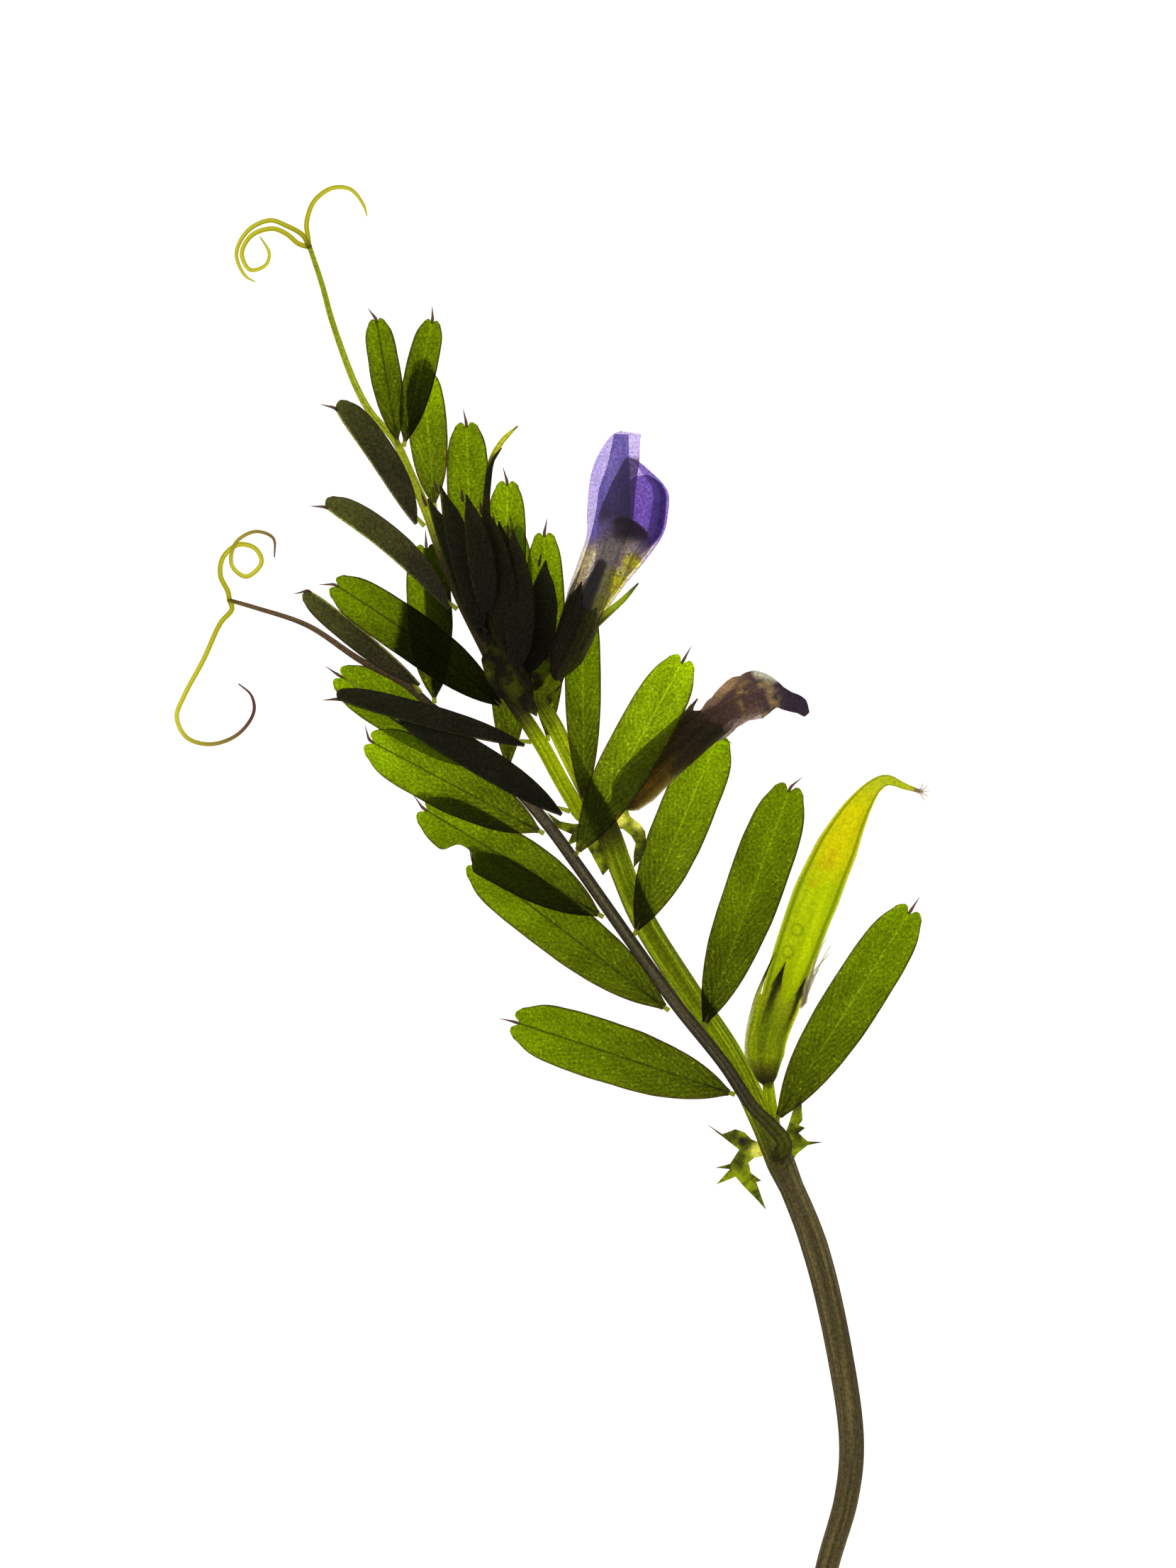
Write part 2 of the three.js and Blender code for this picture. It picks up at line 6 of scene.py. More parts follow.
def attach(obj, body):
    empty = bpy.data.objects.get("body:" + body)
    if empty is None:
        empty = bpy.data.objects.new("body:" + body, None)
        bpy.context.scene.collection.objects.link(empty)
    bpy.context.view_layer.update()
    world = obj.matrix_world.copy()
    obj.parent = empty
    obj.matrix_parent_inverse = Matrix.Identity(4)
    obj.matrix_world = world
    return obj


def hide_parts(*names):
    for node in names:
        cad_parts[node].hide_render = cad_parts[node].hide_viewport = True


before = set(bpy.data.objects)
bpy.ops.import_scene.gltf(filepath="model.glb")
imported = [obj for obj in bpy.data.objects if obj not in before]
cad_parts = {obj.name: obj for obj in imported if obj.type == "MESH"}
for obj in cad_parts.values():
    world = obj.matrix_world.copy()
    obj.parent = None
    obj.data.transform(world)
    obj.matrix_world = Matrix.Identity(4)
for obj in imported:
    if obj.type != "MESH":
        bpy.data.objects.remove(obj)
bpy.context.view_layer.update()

# ---------------------------------------------------------------------------------- the table
# The sprig lies on a pale sheet of glass that is evenly lit from below, so that light comes up
# through the thin leaves and petals. Two broad, weak lamps hang above it.
TABLE_SIDE = 0.9
GLASS_TONE = 0.9
GLASS_LIGHT = 1.0
LAMP_WIDTH = 0.5
ROOM_LIGHT = 0.1
CAMERA_HEIGHT = 0.677
VIEW_MIDDLE = (0.00296, 0.01097)
WHITE = (1, 1, 1, 1)

scene = bpy.context.scene
scene.view_settings.view_transform = "Standard"
bpy.ops.object.select_all(action="DESELECT")
bpy.ops.mesh.primitive_plane_add(size=TABLE_SIDE)
table = bpy.context.object
table.name = "lit_table"
lit_glass = bpy.data.materials.new("lit_glass")
lit_glass.use_nodes = True
glass_face = lit_glass.node_tree.nodes["Principled BSDF"]
glass_face.inputs["Base Color"].default_value = (GLASS_TONE, GLASS_TONE, GLASS_TONE, 1)
glass_face.inputs["Roughness"].default_value = 0.6
glass_face.inputs["Emission Color"].default_value = WHITE
glass_face.inputs["Emission Strength"].default_value = GLASS_LIGHT
table.data.materials.append(lit_glass)

LAMPS = [("lamp_left", (-0.35, 0.25, 0.5), 0.8), ("lamp_right", (0.4, -0.2, 0.55), 0.5)]
for name, place, watts in LAMPS:
    lamp = bpy.data.lights.new(name, "AREA")
    lamp.shape = "DISK"
    lamp.size = LAMP_WIDTH
    lamp.energy = watts
    holder = bpy.data.objects.new(name, lamp)
    holder.location = place
    holder.rotation_euler = Vector(place).to_track_quat("Z", "Y").to_euler()
    scene.collection.objects.link(holder)

room = bpy.data.worlds.new("pale_room")
room.use_nodes = True
sky = room.node_tree.nodes["Background"]
sky.inputs["Color"].default_value = WHITE
sky.inputs["Strength"].default_value = ROOM_LIGHT
scene.world = room

view = bpy.data.cameras.new("camera_above")
view.lens = 200
view.sensor_width = 36
view.clip_end = 10
camera = bpy.data.objects.new("camera_above", view)
camera.location = (*VIEW_MIDDLE, CAMERA_HEIGHT)
scene.collection.objects.link(camera)
scene.camera = camera

# ----------------------------------------------------------------------------------- the stem
# One ridged green stem, brown towards its cut end, with a thicker joint at each of its nodes.
# It lies on the table up to its middle node and rises from there under the leaves.
# It is a round rod, ribbed along its length and bent along the line that it lies on.

# Every shape is drawn in millimetres, heights from the table up, and then laid round the sprig's
# own origin.
MM = 0.001
DRAWING_ORIGIN = Vector((0.091, 0.033, -0.010))
UP = Vector((0, 0, 1))


class Spine:
    """A smooth curve through given points in millimetres, read by a share of its length."""

    def __init__(self, points, steps=20):
        knots = [Vector(point) for point in points]
        first = 2 * knots[0] - knots[1]
        last = 2 * knots[-1] - knots[-2]
        through = [first, *knots, last]
        self.places = []
        for a, b, c, d in zip(through, through[1:], through[2:], through[3:]):
            gaps = [(q - p).length for p, q in ((a, b), (b, c), (c, d))]
            before, between, after = [max(1e-4, gap**0.5) for gap in gaps]
            leave = ((b - a) / before - (c - a) / (before + between) + (c - b) / between) * between
            arrive = ((c - b) / between - (d - b) / (between + after) + (d - c) / after) * between
            for i in range(steps):
                t = i / steps
                bend = -3 * b + 3 * c - 2 * leave - arrive
                self.places.append(b + leave * t + bend * t**2 + (2 * b - 2 * c + leave + arrive) * t**3)
        self.places.append(knots[-1])
        self.reach = [0.0]
        for p, q in zip(self.places, self.places[1:]):
            self.reach.append(self.reach[-1] + (q - p).length)
        self.length = self.reach[-1]

    def at(self, share):
        """The place at a share of the length, carried straight on past either end."""
        wanted = share * self.length
        low, high = 0, len(self.reach) - 2
        while low < high:
            half = (low + high + 1) // 2
            if self.reach[half] <= wanted:
                low = half
            else:
                high = half - 1
        step = self.reach[low + 1] - self.reach[low]
        return self.places[low].lerp(self.places[low + 1], (wanted - self.reach[low]) / step)

    def frame(self, share, roll=0):
        """The place, the direction, the right-hand side and the upward side at a share."""
        tiny = 0.004
        low, high = max(0.0, share - tiny), min(1.0, share + tiny)
        along = (self.at(high) - self.at(low)).normalized()
        right = along.cross(UP).normalized()
        right.rotate(Matrix.Rotation(math.radians(roll), 3, along))
        return self.at(share), along, right, right.cross(along)


def value_at(pairs, distance):
    """The value at a distance in a list of (distance, value) pairs, straight between them."""
    if distance <= pairs[0][0]:
        return pairs[0][1]
    for (start, low), (end, high) in zip(pairs, pairs[1:]):
        if distance <= end:
            return low + (high - low) * (distance - start) / (end - start)
    return pairs[-1][1]


def smooth(low, high, value):
    """Rises evenly from 0 at low to 1 at high."""
    t = min(1.0, max(0.0, (value - low) / (high - low)))
    return t * t * (3 - 2 * t)


def in_place(point):
    """A place in the drawing's millimetres, as metres from the sprig's own origin."""
    return (point - DRAWING_ORIGIN) * MM


def add_rod(name, spine, halves, sides, rings, flatness=1.0, lying=False, swell=None):
    """A rod bent along a spine. halves are (distance, half width) pairs. swell gives how far a
    place stands out, from its angle and its distance along."""
    bpy.ops.object.select_all(action="DESELECT")
    bpy.ops.mesh.primitive_cylinder_add(vertices=sides, radius=1, depth=2, end_fill_type="TRIFAN")
    rod = bpy.context.object
    rod.name = name
    bpy.context.tool_settings.mesh_select_mode = (False, True, False)
    bpy.ops.object.mode_set(mode="EDIT")
    bpy.ops.mesh.select_all(action="DESELECT")
    bpy.ops.object.mode_set(mode="OBJECT")
    points = rod.data.vertices
    for edge in rod.data.edges:
        start, end = [points[i].co for i in edge.vertices]
        edge.select = abs(start.z - end.z) > 1
    bpy.ops.object.mode_set(mode="EDIT")
    bpy.ops.mesh.subdivide_edgering(number_cuts=rings - 1, interpolation="LINEAR")
    bpy.ops.object.mode_set(mode="OBJECT")
    rind = rod.data.attributes.new("rind", "FLOAT_VECTOR", "POINT")
    for i, point in enumerate(rod.data.vertices):
        share = (point.co.z + 1) / 2
        angle = math.atan2(point.co.y, -point.co.x)
        out = math.hypot(point.co.x, point.co.y)
        distance = share * spine.length
        rind.data[i].vector = (math.cos(angle), math.sin(angle), distance)
        place, along, right, up = spine.frame(share)
        half = value_at(halves, distance)
        if lying:
            place = place + up * half * flatness
        if swell:
            half = half * swell(angle, distance)
        aside = right * math.cos(angle) * half * out
        point.co = in_place(place + aside + up * math.sin(angle) * half * flatness * out)
    bpy.ops.object.shade_smooth_by_angle(angle=math.radians(50))
    return rod


def put(tree, kind, inputs=None, **settings):
    """A node with its settings, and its inputs set or joined to other nodes' outputs."""
    node = tree.nodes.new(kind)
    for key, value in settings.items():
        setattr(node, key, value)
    for key, value in (inputs or {}).items():
        if isinstance(value, bpy.types.NodeSocket):
            tree.links.new(value, node.inputs[key])
        else:
            node.inputs[key].default_value = value
    return node


def sums(tree, operation, first, second=0.0, third=0.0):
    """The result of one sum on numbers or on other nodes' outputs."""
    return put(tree, "ShaderNodeMath", {0: first, 1: second, 2: third}, operation=operation).outputs[0]


def product(tree, first, second):
    """The product of two numbers or nodes' outputs."""
    return sums(tree, "MULTIPLY", first, second)


def scaled(tree, vector, by):
    """A vector or a colour, each of its three parts times that of another."""
    return put(tree, "ShaderNodeVectorMath", {0: vector, 1: by}, operation="MULTIPLY").outputs[0]


def dimmed(tree, colour, amount):
    """A colour times a number."""
    thrice = put(tree, "ShaderNodeCombineXYZ", {0: amount, 1: amount, 2: amount}).outputs[0]
    return scaled(tree, colour, thrice)


def ground_place(tree):
    """Where a place is, in metres from the sprig's own origin."""
    return put(tree, "ShaderNodeTexCoord").outputs["Object"]


def spread(tree, value, low, high, start=0.0, end=1.0):
    """A value mapped evenly from one range to another, and held inside it."""
    inputs = {"Value": value, "From Min": low, "From Max": high, "To Min": start, "To Max": end}
    return put(tree, "ShaderNodeMapRange", inputs).outputs["Result"]


def linear(tone):
    """A 0 to 255 tone as an amount of light, by the curve that screens show tones with."""
    part = tone / 255
    return part / 12.92 if part <= 0.04045 else ((part + 0.055) / 1.055) ** 2.4


# The share of the light on a wall that goes on through it. The rest shines back.
PASSED = 0.86


def dye(red, green, blue):
    """What one wall must let through for light to look this colour after both walls of a piece."""
    return (*[min(1.0, math.sqrt(linear(tone)) / PASSED) for tone in (red, green, blue)], 1.0)


def tint(tree, base, colour, amount):
    """A colour laid over another by an amount."""
    node = put(tree, "ShaderNodeMix", data_type="RGBA")
    for key, value in ((0, amount), (6, base), (7, colour)):
        if isinstance(value, bpy.types.NodeSocket):
            tree.links.new(value, node.inputs[key])
        else:
            node.inputs[key].default_value = value
    return node.outputs[2]


def touch(tree, base, colour, mask, depth):
    """A colour laid over another where a mask is high, and by no more than a depth."""
    return tint(tree, base, colour, product(tree, mask, depth))


SATIN = 0.16
BUMP_STRENGTH, BUMP_DEPTH = 0.5, 0.04 * MM


def thin_skin(material, colour, clear, roughness, bump=None):
    """Plant skin: part satin surface, part light that scatters through, part that goes straight
    through. clear is the share of the passing light that goes straight."""
    tree = material.node_tree
    surface = tree.nodes["Principled BSDF"]
    surface.inputs["Roughness"].default_value = roughness
    surface.inputs["Specular IOR Level"].default_value = SATIN
    tree.links.new(colour, surface.inputs["Base Color"])
    scattered = put(tree, "ShaderNodeBsdfTranslucent", {"Color": colour})
    straight = put(tree, "ShaderNodeBsdfTransparent", {"Color": colour})
    if bump is not None:
        relief = {"Height": bump, "Strength": BUMP_STRENGTH, "Distance": BUMP_DEPTH}
        relief = put(tree, "ShaderNodeBump", relief)
        tree.links.new(relief.outputs["Normal"], surface.inputs["Normal"])
    passing = {0: clear, 1: scattered.outputs[0], 2: straight.outputs[0]}
    passing = put(tree, "ShaderNodeMixShader", passing)
    both = {0: PASSED, 1: surface.outputs[0], 2: passing.outputs[0]}
    both = put(tree, "ShaderNodeMixShader", both)
    tree.links.new(both.outputs[0], tree.nodes["Material Output"].inputs["Surface"])


def new_finish(name):
    """A new material and its node tree."""
    material = bpy.data.materials.new(name)
    material.use_nodes = True
    return material, material.node_tree


def settle(piece, node):
    """Puts a finished piece in the place of its plain solid."""
    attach(piece, "root")
    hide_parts(node)


def finish(piece, material, node):
    """Gives a piece of one material that material and its place."""
    piece.data.materials.append(material)
    settle(piece, node)


def new_group(name, vectors, numbers, gives):
    """A node group for more than one material, and the values that it is given. vectors and numbers
    name its inputs, and gives names its outputs."""
    group = bpy.data.node_groups.new(name, "ShaderNodeTree")
    for label in vectors:
        group.interface.new_socket(label, in_out="INPUT", socket_type="NodeSocketVector")
    for label in numbers:
        group.interface.new_socket(label, in_out="INPUT", socket_type="NodeSocketFloat")
    for label in gives:
        group.interface.new_socket(label, in_out="OUTPUT", socket_type="NodeSocketFloat")
    return group, group.nodes.new("NodeGroupInput").outputs


def put_out(group, masks):
    """Joins a group's masks to its outputs of the same names."""
    given = group.nodes.new("NodeGroupOutput")
    for label, mask in masks.items():
        group.links.new(mask, given.inputs[label])


def placed(tree, group, **values):
    """A shared group placed in a material with its own values, as its outputs."""
    return put(tree, "ShaderNodeGroup", values, node_tree=group).outputs


# Fine fibres run along a rind, and its streaks are lighter and darker bands round it. Aside and
# Upward say which way a place faces, from -1 to 1, and Along how far it is from the lower end.
RIND_MARKS = ("Streaks", "Lines", "Fibres", "Blotches", "Aside", "Upward", "Along")
rind_group, asked = new_group("rind_streaks", (), ("Bands",), RIND_MARKS)
rind_place = put(rind_group, "ShaderNodeAttribute", attribute_name="rind").outputs["Vector"]
rind_parts = put(rind_group, "ShaderNodeSeparateXYZ", {0: rind_place})
stretched = scaled(rind_group, rind_place, (1, 1, 0.03))
broad = {"Vector": stretched, "Scale": asked["Bands"], "Detail": 1.5}
broad = put(rind_group, "ShaderNodeTexNoise", broad)
fine = put(rind_group, "ShaderNodeTexNoise", {"Vector": stretched, "Scale": 14.0, "Detail": 3.0})
blots = scaled(rind_group, rind_place, (1, 1, 0.6))
blotch = put(rind_group, "ShaderNodeTexNoise", {"Vector": blots, "Scale": 1.4, "Detail": 4.0})
ridged = scaled(rind_group, rind_place, (1, 1, 0.012))
ridge = put(rind_group, "ShaderNodeTexNoise", {"Vector": ridged, "Scale": 5.0, "Detail": 1.0})
put_out(rind_group, {
    "Streaks": spread(rind_group, broad.outputs[0], 0.42, 0.6),
    "Lines": spread(rind_group, ridge.outputs[0], 0.54, 0.59),
    "Fibres": spread(rind_group, fine.outputs[0], 0.3, 0.7),
    "Blotches": spread(rind_group, blotch.outputs[0], 0.35, 0.65),
    "Aside": rind_parts.outputs["X"],
    "Upward": rind_parts.outputs["Y"],
    "Along": rind_parts.outputs["Z"],
})


def rind_marks(tree, bands):
    """The marks of a rind and the distance along it, as outputs of its shared group."""
    return placed(tree, rind_group, Bands=bands)


# Fine grains let a little more or less light through from place to place.
grain_group, asked = new_group("fine_grains", ("Place",), ("Scale", "Least", "Most"), ("Light",))
grains = {"Vector": asked["Place"], "Scale": asked["Scale"], "Detail": 1.5}
grains = put(grain_group, "ShaderNodeTexNoise", grains).outputs[0]
put_out(grain_group, {"Light": spread(grain_group, grains, 0.34, 0.66, asked["Least"], asked["Most"])})


def grained(tree, colour, size, depth):
    """A colour broken up by fine grains of a size in millimetres."""
    least, most = 1 - depth, 1 + depth * 0.7
    ground = ground_place(tree)
    light = placed(tree, grain_group, Place=ground, Scale=1 / (size * MM), Least=least, Most=most)
    return dimmed(tree, colour, light["Light"])


STEM_LINE = [
    (20.1, -57.3, 0), (21.6, -49.8, 0), (23.1, -44.4, 0), (23.5, -40.2, 0), (22.6, -33.3, 0),
    (20.6, -24.8, 0), (18.0, -18.4, 0), (14.2, -10.2, 0), (11.0, -5.4, 0), (7.3, 0.5, 0),
    (5.8, 4.0, 0), (4.7, 7.0, 0.02), (3.4, 9.7, 0.25), (2.4, 11.6, 0.8), (1.3, 13.75, 1.8),
    (0.45, 15.5, 2.7), (-0.6, 17.4, 3.6), (-0.7, 18.5, 4.2),
]
STEM_HALVES = [
    (0, 0.82), (16, 0.96), (33, 1.04), (38, 0.94), (40, 1.1), (43, 0.96), (68, 0.93), (70.5, 1.0),
    (73, 0.72), (77, 0.66), (80, 0.62), (82, 0.5),
]


def stem_ribs(angle, distance):
    """How far the stem stands out: six broad ribs and finer ones between them."""
    return 0.96 + 0.045 * math.cos(6 * angle) + 0.02 * math.cos(13 * angle + 1)


stem_spine = Spine(STEM_LINE)
stem = add_rod("stem_ribbed", stem_spine, STEM_HALVES, sides=60, rings=220, lying=True, swell=stem_ribs)
stem_rind, tree = new_finish("stem_rind")
found = rind_marks(tree, 2.6)
low_stem = tint(tree, dye(64, 56, 34), dye(118, 106, 60), found["Streaks"])
high_stem = tint(tree, dye(80, 96, 3), dye(204, 220, 14), found["Streaks"])
top_stem = tint(tree, dye(158, 192, 4), dye(236, 255, 20), found["Streaks"])
colour = tint(tree, low_stem, high_stem, spread(tree, found["Along"], 39, 45))
colour = tint(tree, colour, top_stem, spread(tree, found["Along"], 64, 74))
dark_line = tint(tree, dye(44, 36, 20), dye(56, 66, 4), spread(tree, found["Along"], 39, 45))
colour = touch(tree, colour, dark_line, found["Lines"], 0.75)
colour = touch(tree, colour, dye(60, 50, 26), found["Blotches"], 0.15)
past_start, before_end = spread(tree, found["Along"], 67, 69), spread(tree, found["Along"], 75, 73)
middle_node = product(tree, past_start, before_end)
colour = touch(tree, colour, dye(44, 38, 16), middle_node, 0.85)
colour = grained(tree, colour, size=0.22, depth=0.3)
thin_skin(stem_rind, colour, clear=0.25, roughness=0.45, bump=found["Fibres"])
finish(stem, stem_rind, "stem")

# --------------------------------------------------------------------------- leaf A, its stalk
# The leaf of the lower node. Its grooved stalk lies over the stem, then over its own leaflets,
# and carries six leaflets on each side. It is purplish where it is old and green towards its end.
LEAF_A_LINE = [
    (17.7, -18.1, 1.3), (18.3, -16.9, 2.2), (17.2, -15.4, 2.75), (15.8, -14.0, 2.85), (13.6, -10.7, 2.85),
    (10.0, -6.2, 2.75), (6.4, -1.2, 2.7), (2.1, 4.9, 2.65), (-0.1, 7.9, 2.35), (-3.2, 11.4, 1.7),
    (-7.4, 15.2, 1.35), (-10.9, 18.6, 1.1), (-14.6, 20.6, 0.9), (-18.7, 23.3, 0.65),
    (-22.8, 24.7, 0.4), (-24.9, 25.3, 0.32),
]
LEAF_A_HALVES = [
    (0, 0.62), (2, 0.58), (5, 0.48), (32, 0.45), (44, 0.36), (50, 0.26), (58, 0.19), (64, 0.15),
]
LEAF_A_START = 1.7


def stalk_groove(angle, distance):
    """How far a leaf stalk stands out: it is four-sided, with a groove along its upper side."""
    groove = 0.16 * math.exp(-(((angle - math.pi / 2) / 0.5) ** 2))
    return 1 - groove + 0.05 * math.cos(4 * angle)


leaf_a_spine = Spine(LEAF_A_LINE)
leaf_a_stalk = add_rod(
    "leaf_a_stalk_grooved", leaf_a_spine, LEAF_A_HALVES, sides=28, rings=150, swell=stalk_groove)
old_stalk, tree = new_finish("old_stalk_rind")
found = rind_marks(tree, 2.2)
colour = tint(tree, dye(66, 58, 44), dye(124, 114, 78), found["Streaks"])
young_green = tint(tree, dye(96, 106, 14), dye(164, 168, 36), found["Streaks"])
colour = tint(tree, young_green, colour, spread(tree, found["Along"], 2.5, 6.5))
thin_end = tint(tree, dye(96, 66, 44), dye(160, 138, 76), found["Streaks"])
colour = tint(tree, colour, thin_end, spread(tree, found["Along"], 44, 54))
colour = touch(tree, colour, dye(34, 26, 30), found["Lines"], 0.6)
aside = sums(tree, "ABSOLUTE", found["Aside"])
colour = tint(tree, colour, dye(46, 36, 26), spread(tree, aside, 0.6, 0.88, 0, 0.8))
colour = grained(tree, colour, size=0.22, depth=0.3)
thin_skin(old_stalk, colour, clear=0.25, roughness=0.45, bump=found["Fibres"])
finish(leaf_a_stalk, old_stalk, "leaf_a_stalk")

# ---------------------------------------------------------------------------- leaf A, leaflets
# Each leaflet is one thin blade on a tiny stalk: a wedge at its base, nearly even sides and a
# blunt end with two low shoulders, between which its midrib runs out into a fine curved awn.
# Some are folded shut along the midrib. They are modelled as a grid given a blade's outline.
LEFT, RIGHT = -1, 1
GAP = 0.3
AWN_HALF = 0.1
BLADE_THICKNESS = 0.2
FOLDED_THICKNESS = 0.13
RIB_DEPTH = 0.16
AWN_LENGTH = 1.25
FOLDED_INSET = 0.25
END_NOTCH = 0.09
FOLD_GAPE = 0.34
# How deep the shade is that is painted into a leaflet where it would lie double, and where it lies over
# another piece.
DOUBLE_LAYER_SHADE = 0.72
OVERLAP_SHADE = 0.45
OUTLINE = [
    (0, 0.06), (0.03, 0.2), (0.08, 0.4), (0.15, 0.6), (0.22, 0.75), (0.31, 0.88), (0.45, 0.98),
    (0.6, 1.0), (0.75, 0.98), (0.85, 0.91), (0.92, 0.8), (0.97, 0.64), (1, 0.5),
]


def oblong(t):
    """The share of its full width that a leaflet has at a share of its length."""
    near = [value_at(OUTLINE, t + shift) for shift in (-0.02, 0, 0.02)]
    return sum(near) / 3


def give_thickness(piece, thickness, offset=0.0):
    """Makes a thin wall of a sheet. thickness is in millimetres."""
    wall = piece.modifiers.new("wall", "SOLIDIFY")
    wall.thickness = thickness * MM
    wall.offset = offset
    bpy.context.view_layer.objects.active = piece
    bpy.ops.object.modifier_apply(modifier=wall.name)


def add_sheet(name, columns, rows, place_at, thickness, size_at, tone_at=None, sample=0.0, rib=0.0):
    """A thin sheet whose grid of points is placed by a rule, from -1 to 1 across and 0 to 1 along.
    size_at gives its half width and its length, tone_at how dark it is, with any shade painted into
    it, sample which part of the patterns it shows, and rib how far its midrib stands out underneath."""
    bpy.ops.object.select_all(action="DESELECT")
    bpy.ops.mesh.primitive_grid_add(x_subdivisions=columns, y_subdivisions=rows, size=2)
    sheet = bpy.context.object
    sheet.name = name
    blade = sheet.data.attributes.new("blade", "FLOAT_VECTOR", "POINT")
    shade = sheet.data.attributes.new("shade", "FLOAT_VECTOR", "POINT")
    for i, point in enumerate(sheet.data.vertices):
        across, share = point.co.x, (point.co.y + 1) / 2
        half, length = size_at(share)
        blade.data[i].vector = (across, share, length)
        shade.data[i].vector = (tone_at(across, share) if tone_at else 1.0, sample, half)
        point.co = in_place(place_at(across, share))
    give_thickness(sheet, thickness)
    if rib:
        blade = sheet.data.attributes["blade"]
        for point in sheet.data.vertices:
            across, share = blade.data[point.index].vector.xy
            if point.normal.z < 0:
                ridge = rib * (1 - smooth(0.0, 0.12, abs(across))) * (1 - 0.6 * share)
                point.co.z -= ridge * MM
    bpy.ops.object.shade_smooth_by_angle(angle=math.radians(60))
    return sheet


def joined(pieces):
    """Several meshes as one, which keeps the first one's name."""
    bpy.ops.object.select_all(action="DESELECT")
    for piece in pieces:
        piece.select_set(True)
    bpy.context.view_layer.objects.active = pieces[0]
    bpy.ops.object.join()
    return pieces[0]


def finish_joined(parts, skins, node):
    """Joins parts, each with a material of its own, and puts them in the place of their solid."""
    for part, skin in zip(parts, skins):
        part.data.materials.append(skin)
    settle(joined(parts), node)


def leaflet_line(leaf_spine, halves, at, side, length, bearing, heights, seat=0, bow=0.0):
    """The curve of a leaflet's midrib, from beside the stalk. at is how far along the stalk it
    grows, bearing where it points and seat how far up round the stalk it sits, both in degrees.
    heights are those of its middle and its tip, and bow is how far it bends aside."""
    clear = value_at(halves, at) + GAP + AWN_HALF
    climb = math.radians(seat)
    place, along, right, up = leaf_spine.frame(at / leaf_spine.length)
    base = place + right * side * clear * math.cos(climb) + up * clear * math.sin(climb)
    heading = Vector((math.cos(math.radians(bearing)), math.sin(math.radians(bearing)), 0))
    tip = base + heading * length
    tip.z = heights[1]
    middle = base.lerp(tip, 0.5)
    middle.z = heights[0]
    middle += UP.cross(heading) * bow
    control = middle * 2 - base * 0.5 - tip * 0.5
    shares = [i / 10 for i in range(11)]
    bent = [base * (1 - t) ** 2 + control * (2 * t * (1 - t)) + tip * t**2 for t in shares]
    return Spine(bent, steps=6)


STALK_REACH = GAP + 0.15
TINY_STALK_HALVES = [(0, 0.2), (0.6, 0.17), (1.2, 0.1), (2.2, 0.05)]


def add_ends(name, line, awn_length, awn_turn, inset):
    """The tiny stalk behind a leaflet and the stiff awn past its end, as two tapering rods."""
    base, outward = line.at(0), line.frame(0)[1]
    behind = [base - outward * STALK_REACH, base, line.at(0.05), line.at(0.12)]
    stalk_line = Spine(behind, steps=6)
    stalk = add_rod(name + "_stalk", stalk_line, TINY_STALK_HALVES, sides=10, rings=12)
    tip, along, right, up = line.frame(1.0)
    turned = along.copy()
    turned.rotate(Matrix.Rotation(math.radians(awn_turn), 3, UP))
    start = tip - along * inset
    bend = start + along * (inset * 0.6 + 0.12) + turned * 0.1
    past, end = tip + turned * awn_length * 0.6, tip + turned * awn_length + UP * 0.1
    awn_line = Spine([start, bend, past, end], steps=8)
    halves = [(0, AWN_HALF), (0.35, 0.13), (0.8, 0.08), (awn_line.length, 0.012)]
    awn = add_rod(name + "_awn", awn_line, halves, sides=8, rings=16)
    return stalk, awn


STEM_WIDTH = 2.1
LAID_BLADES = {"stem": (stem_spine, STEM_WIDTH)}


def covered(name, point):
    """Whether a laid leaflet or the stem is below a place: 1 where it is, and 0 outside its edge."""
    line, width = LAID_BLADES[name]
    gaps = [(place.xy - point.xy).length for place in line.places]
    nearest = gaps.index(min(gaps))
    inside = width / 2 * oblong(line.reach[nearest] / line.length) - gaps[nearest]
    return smooth(-0.1, 0.15, inside)


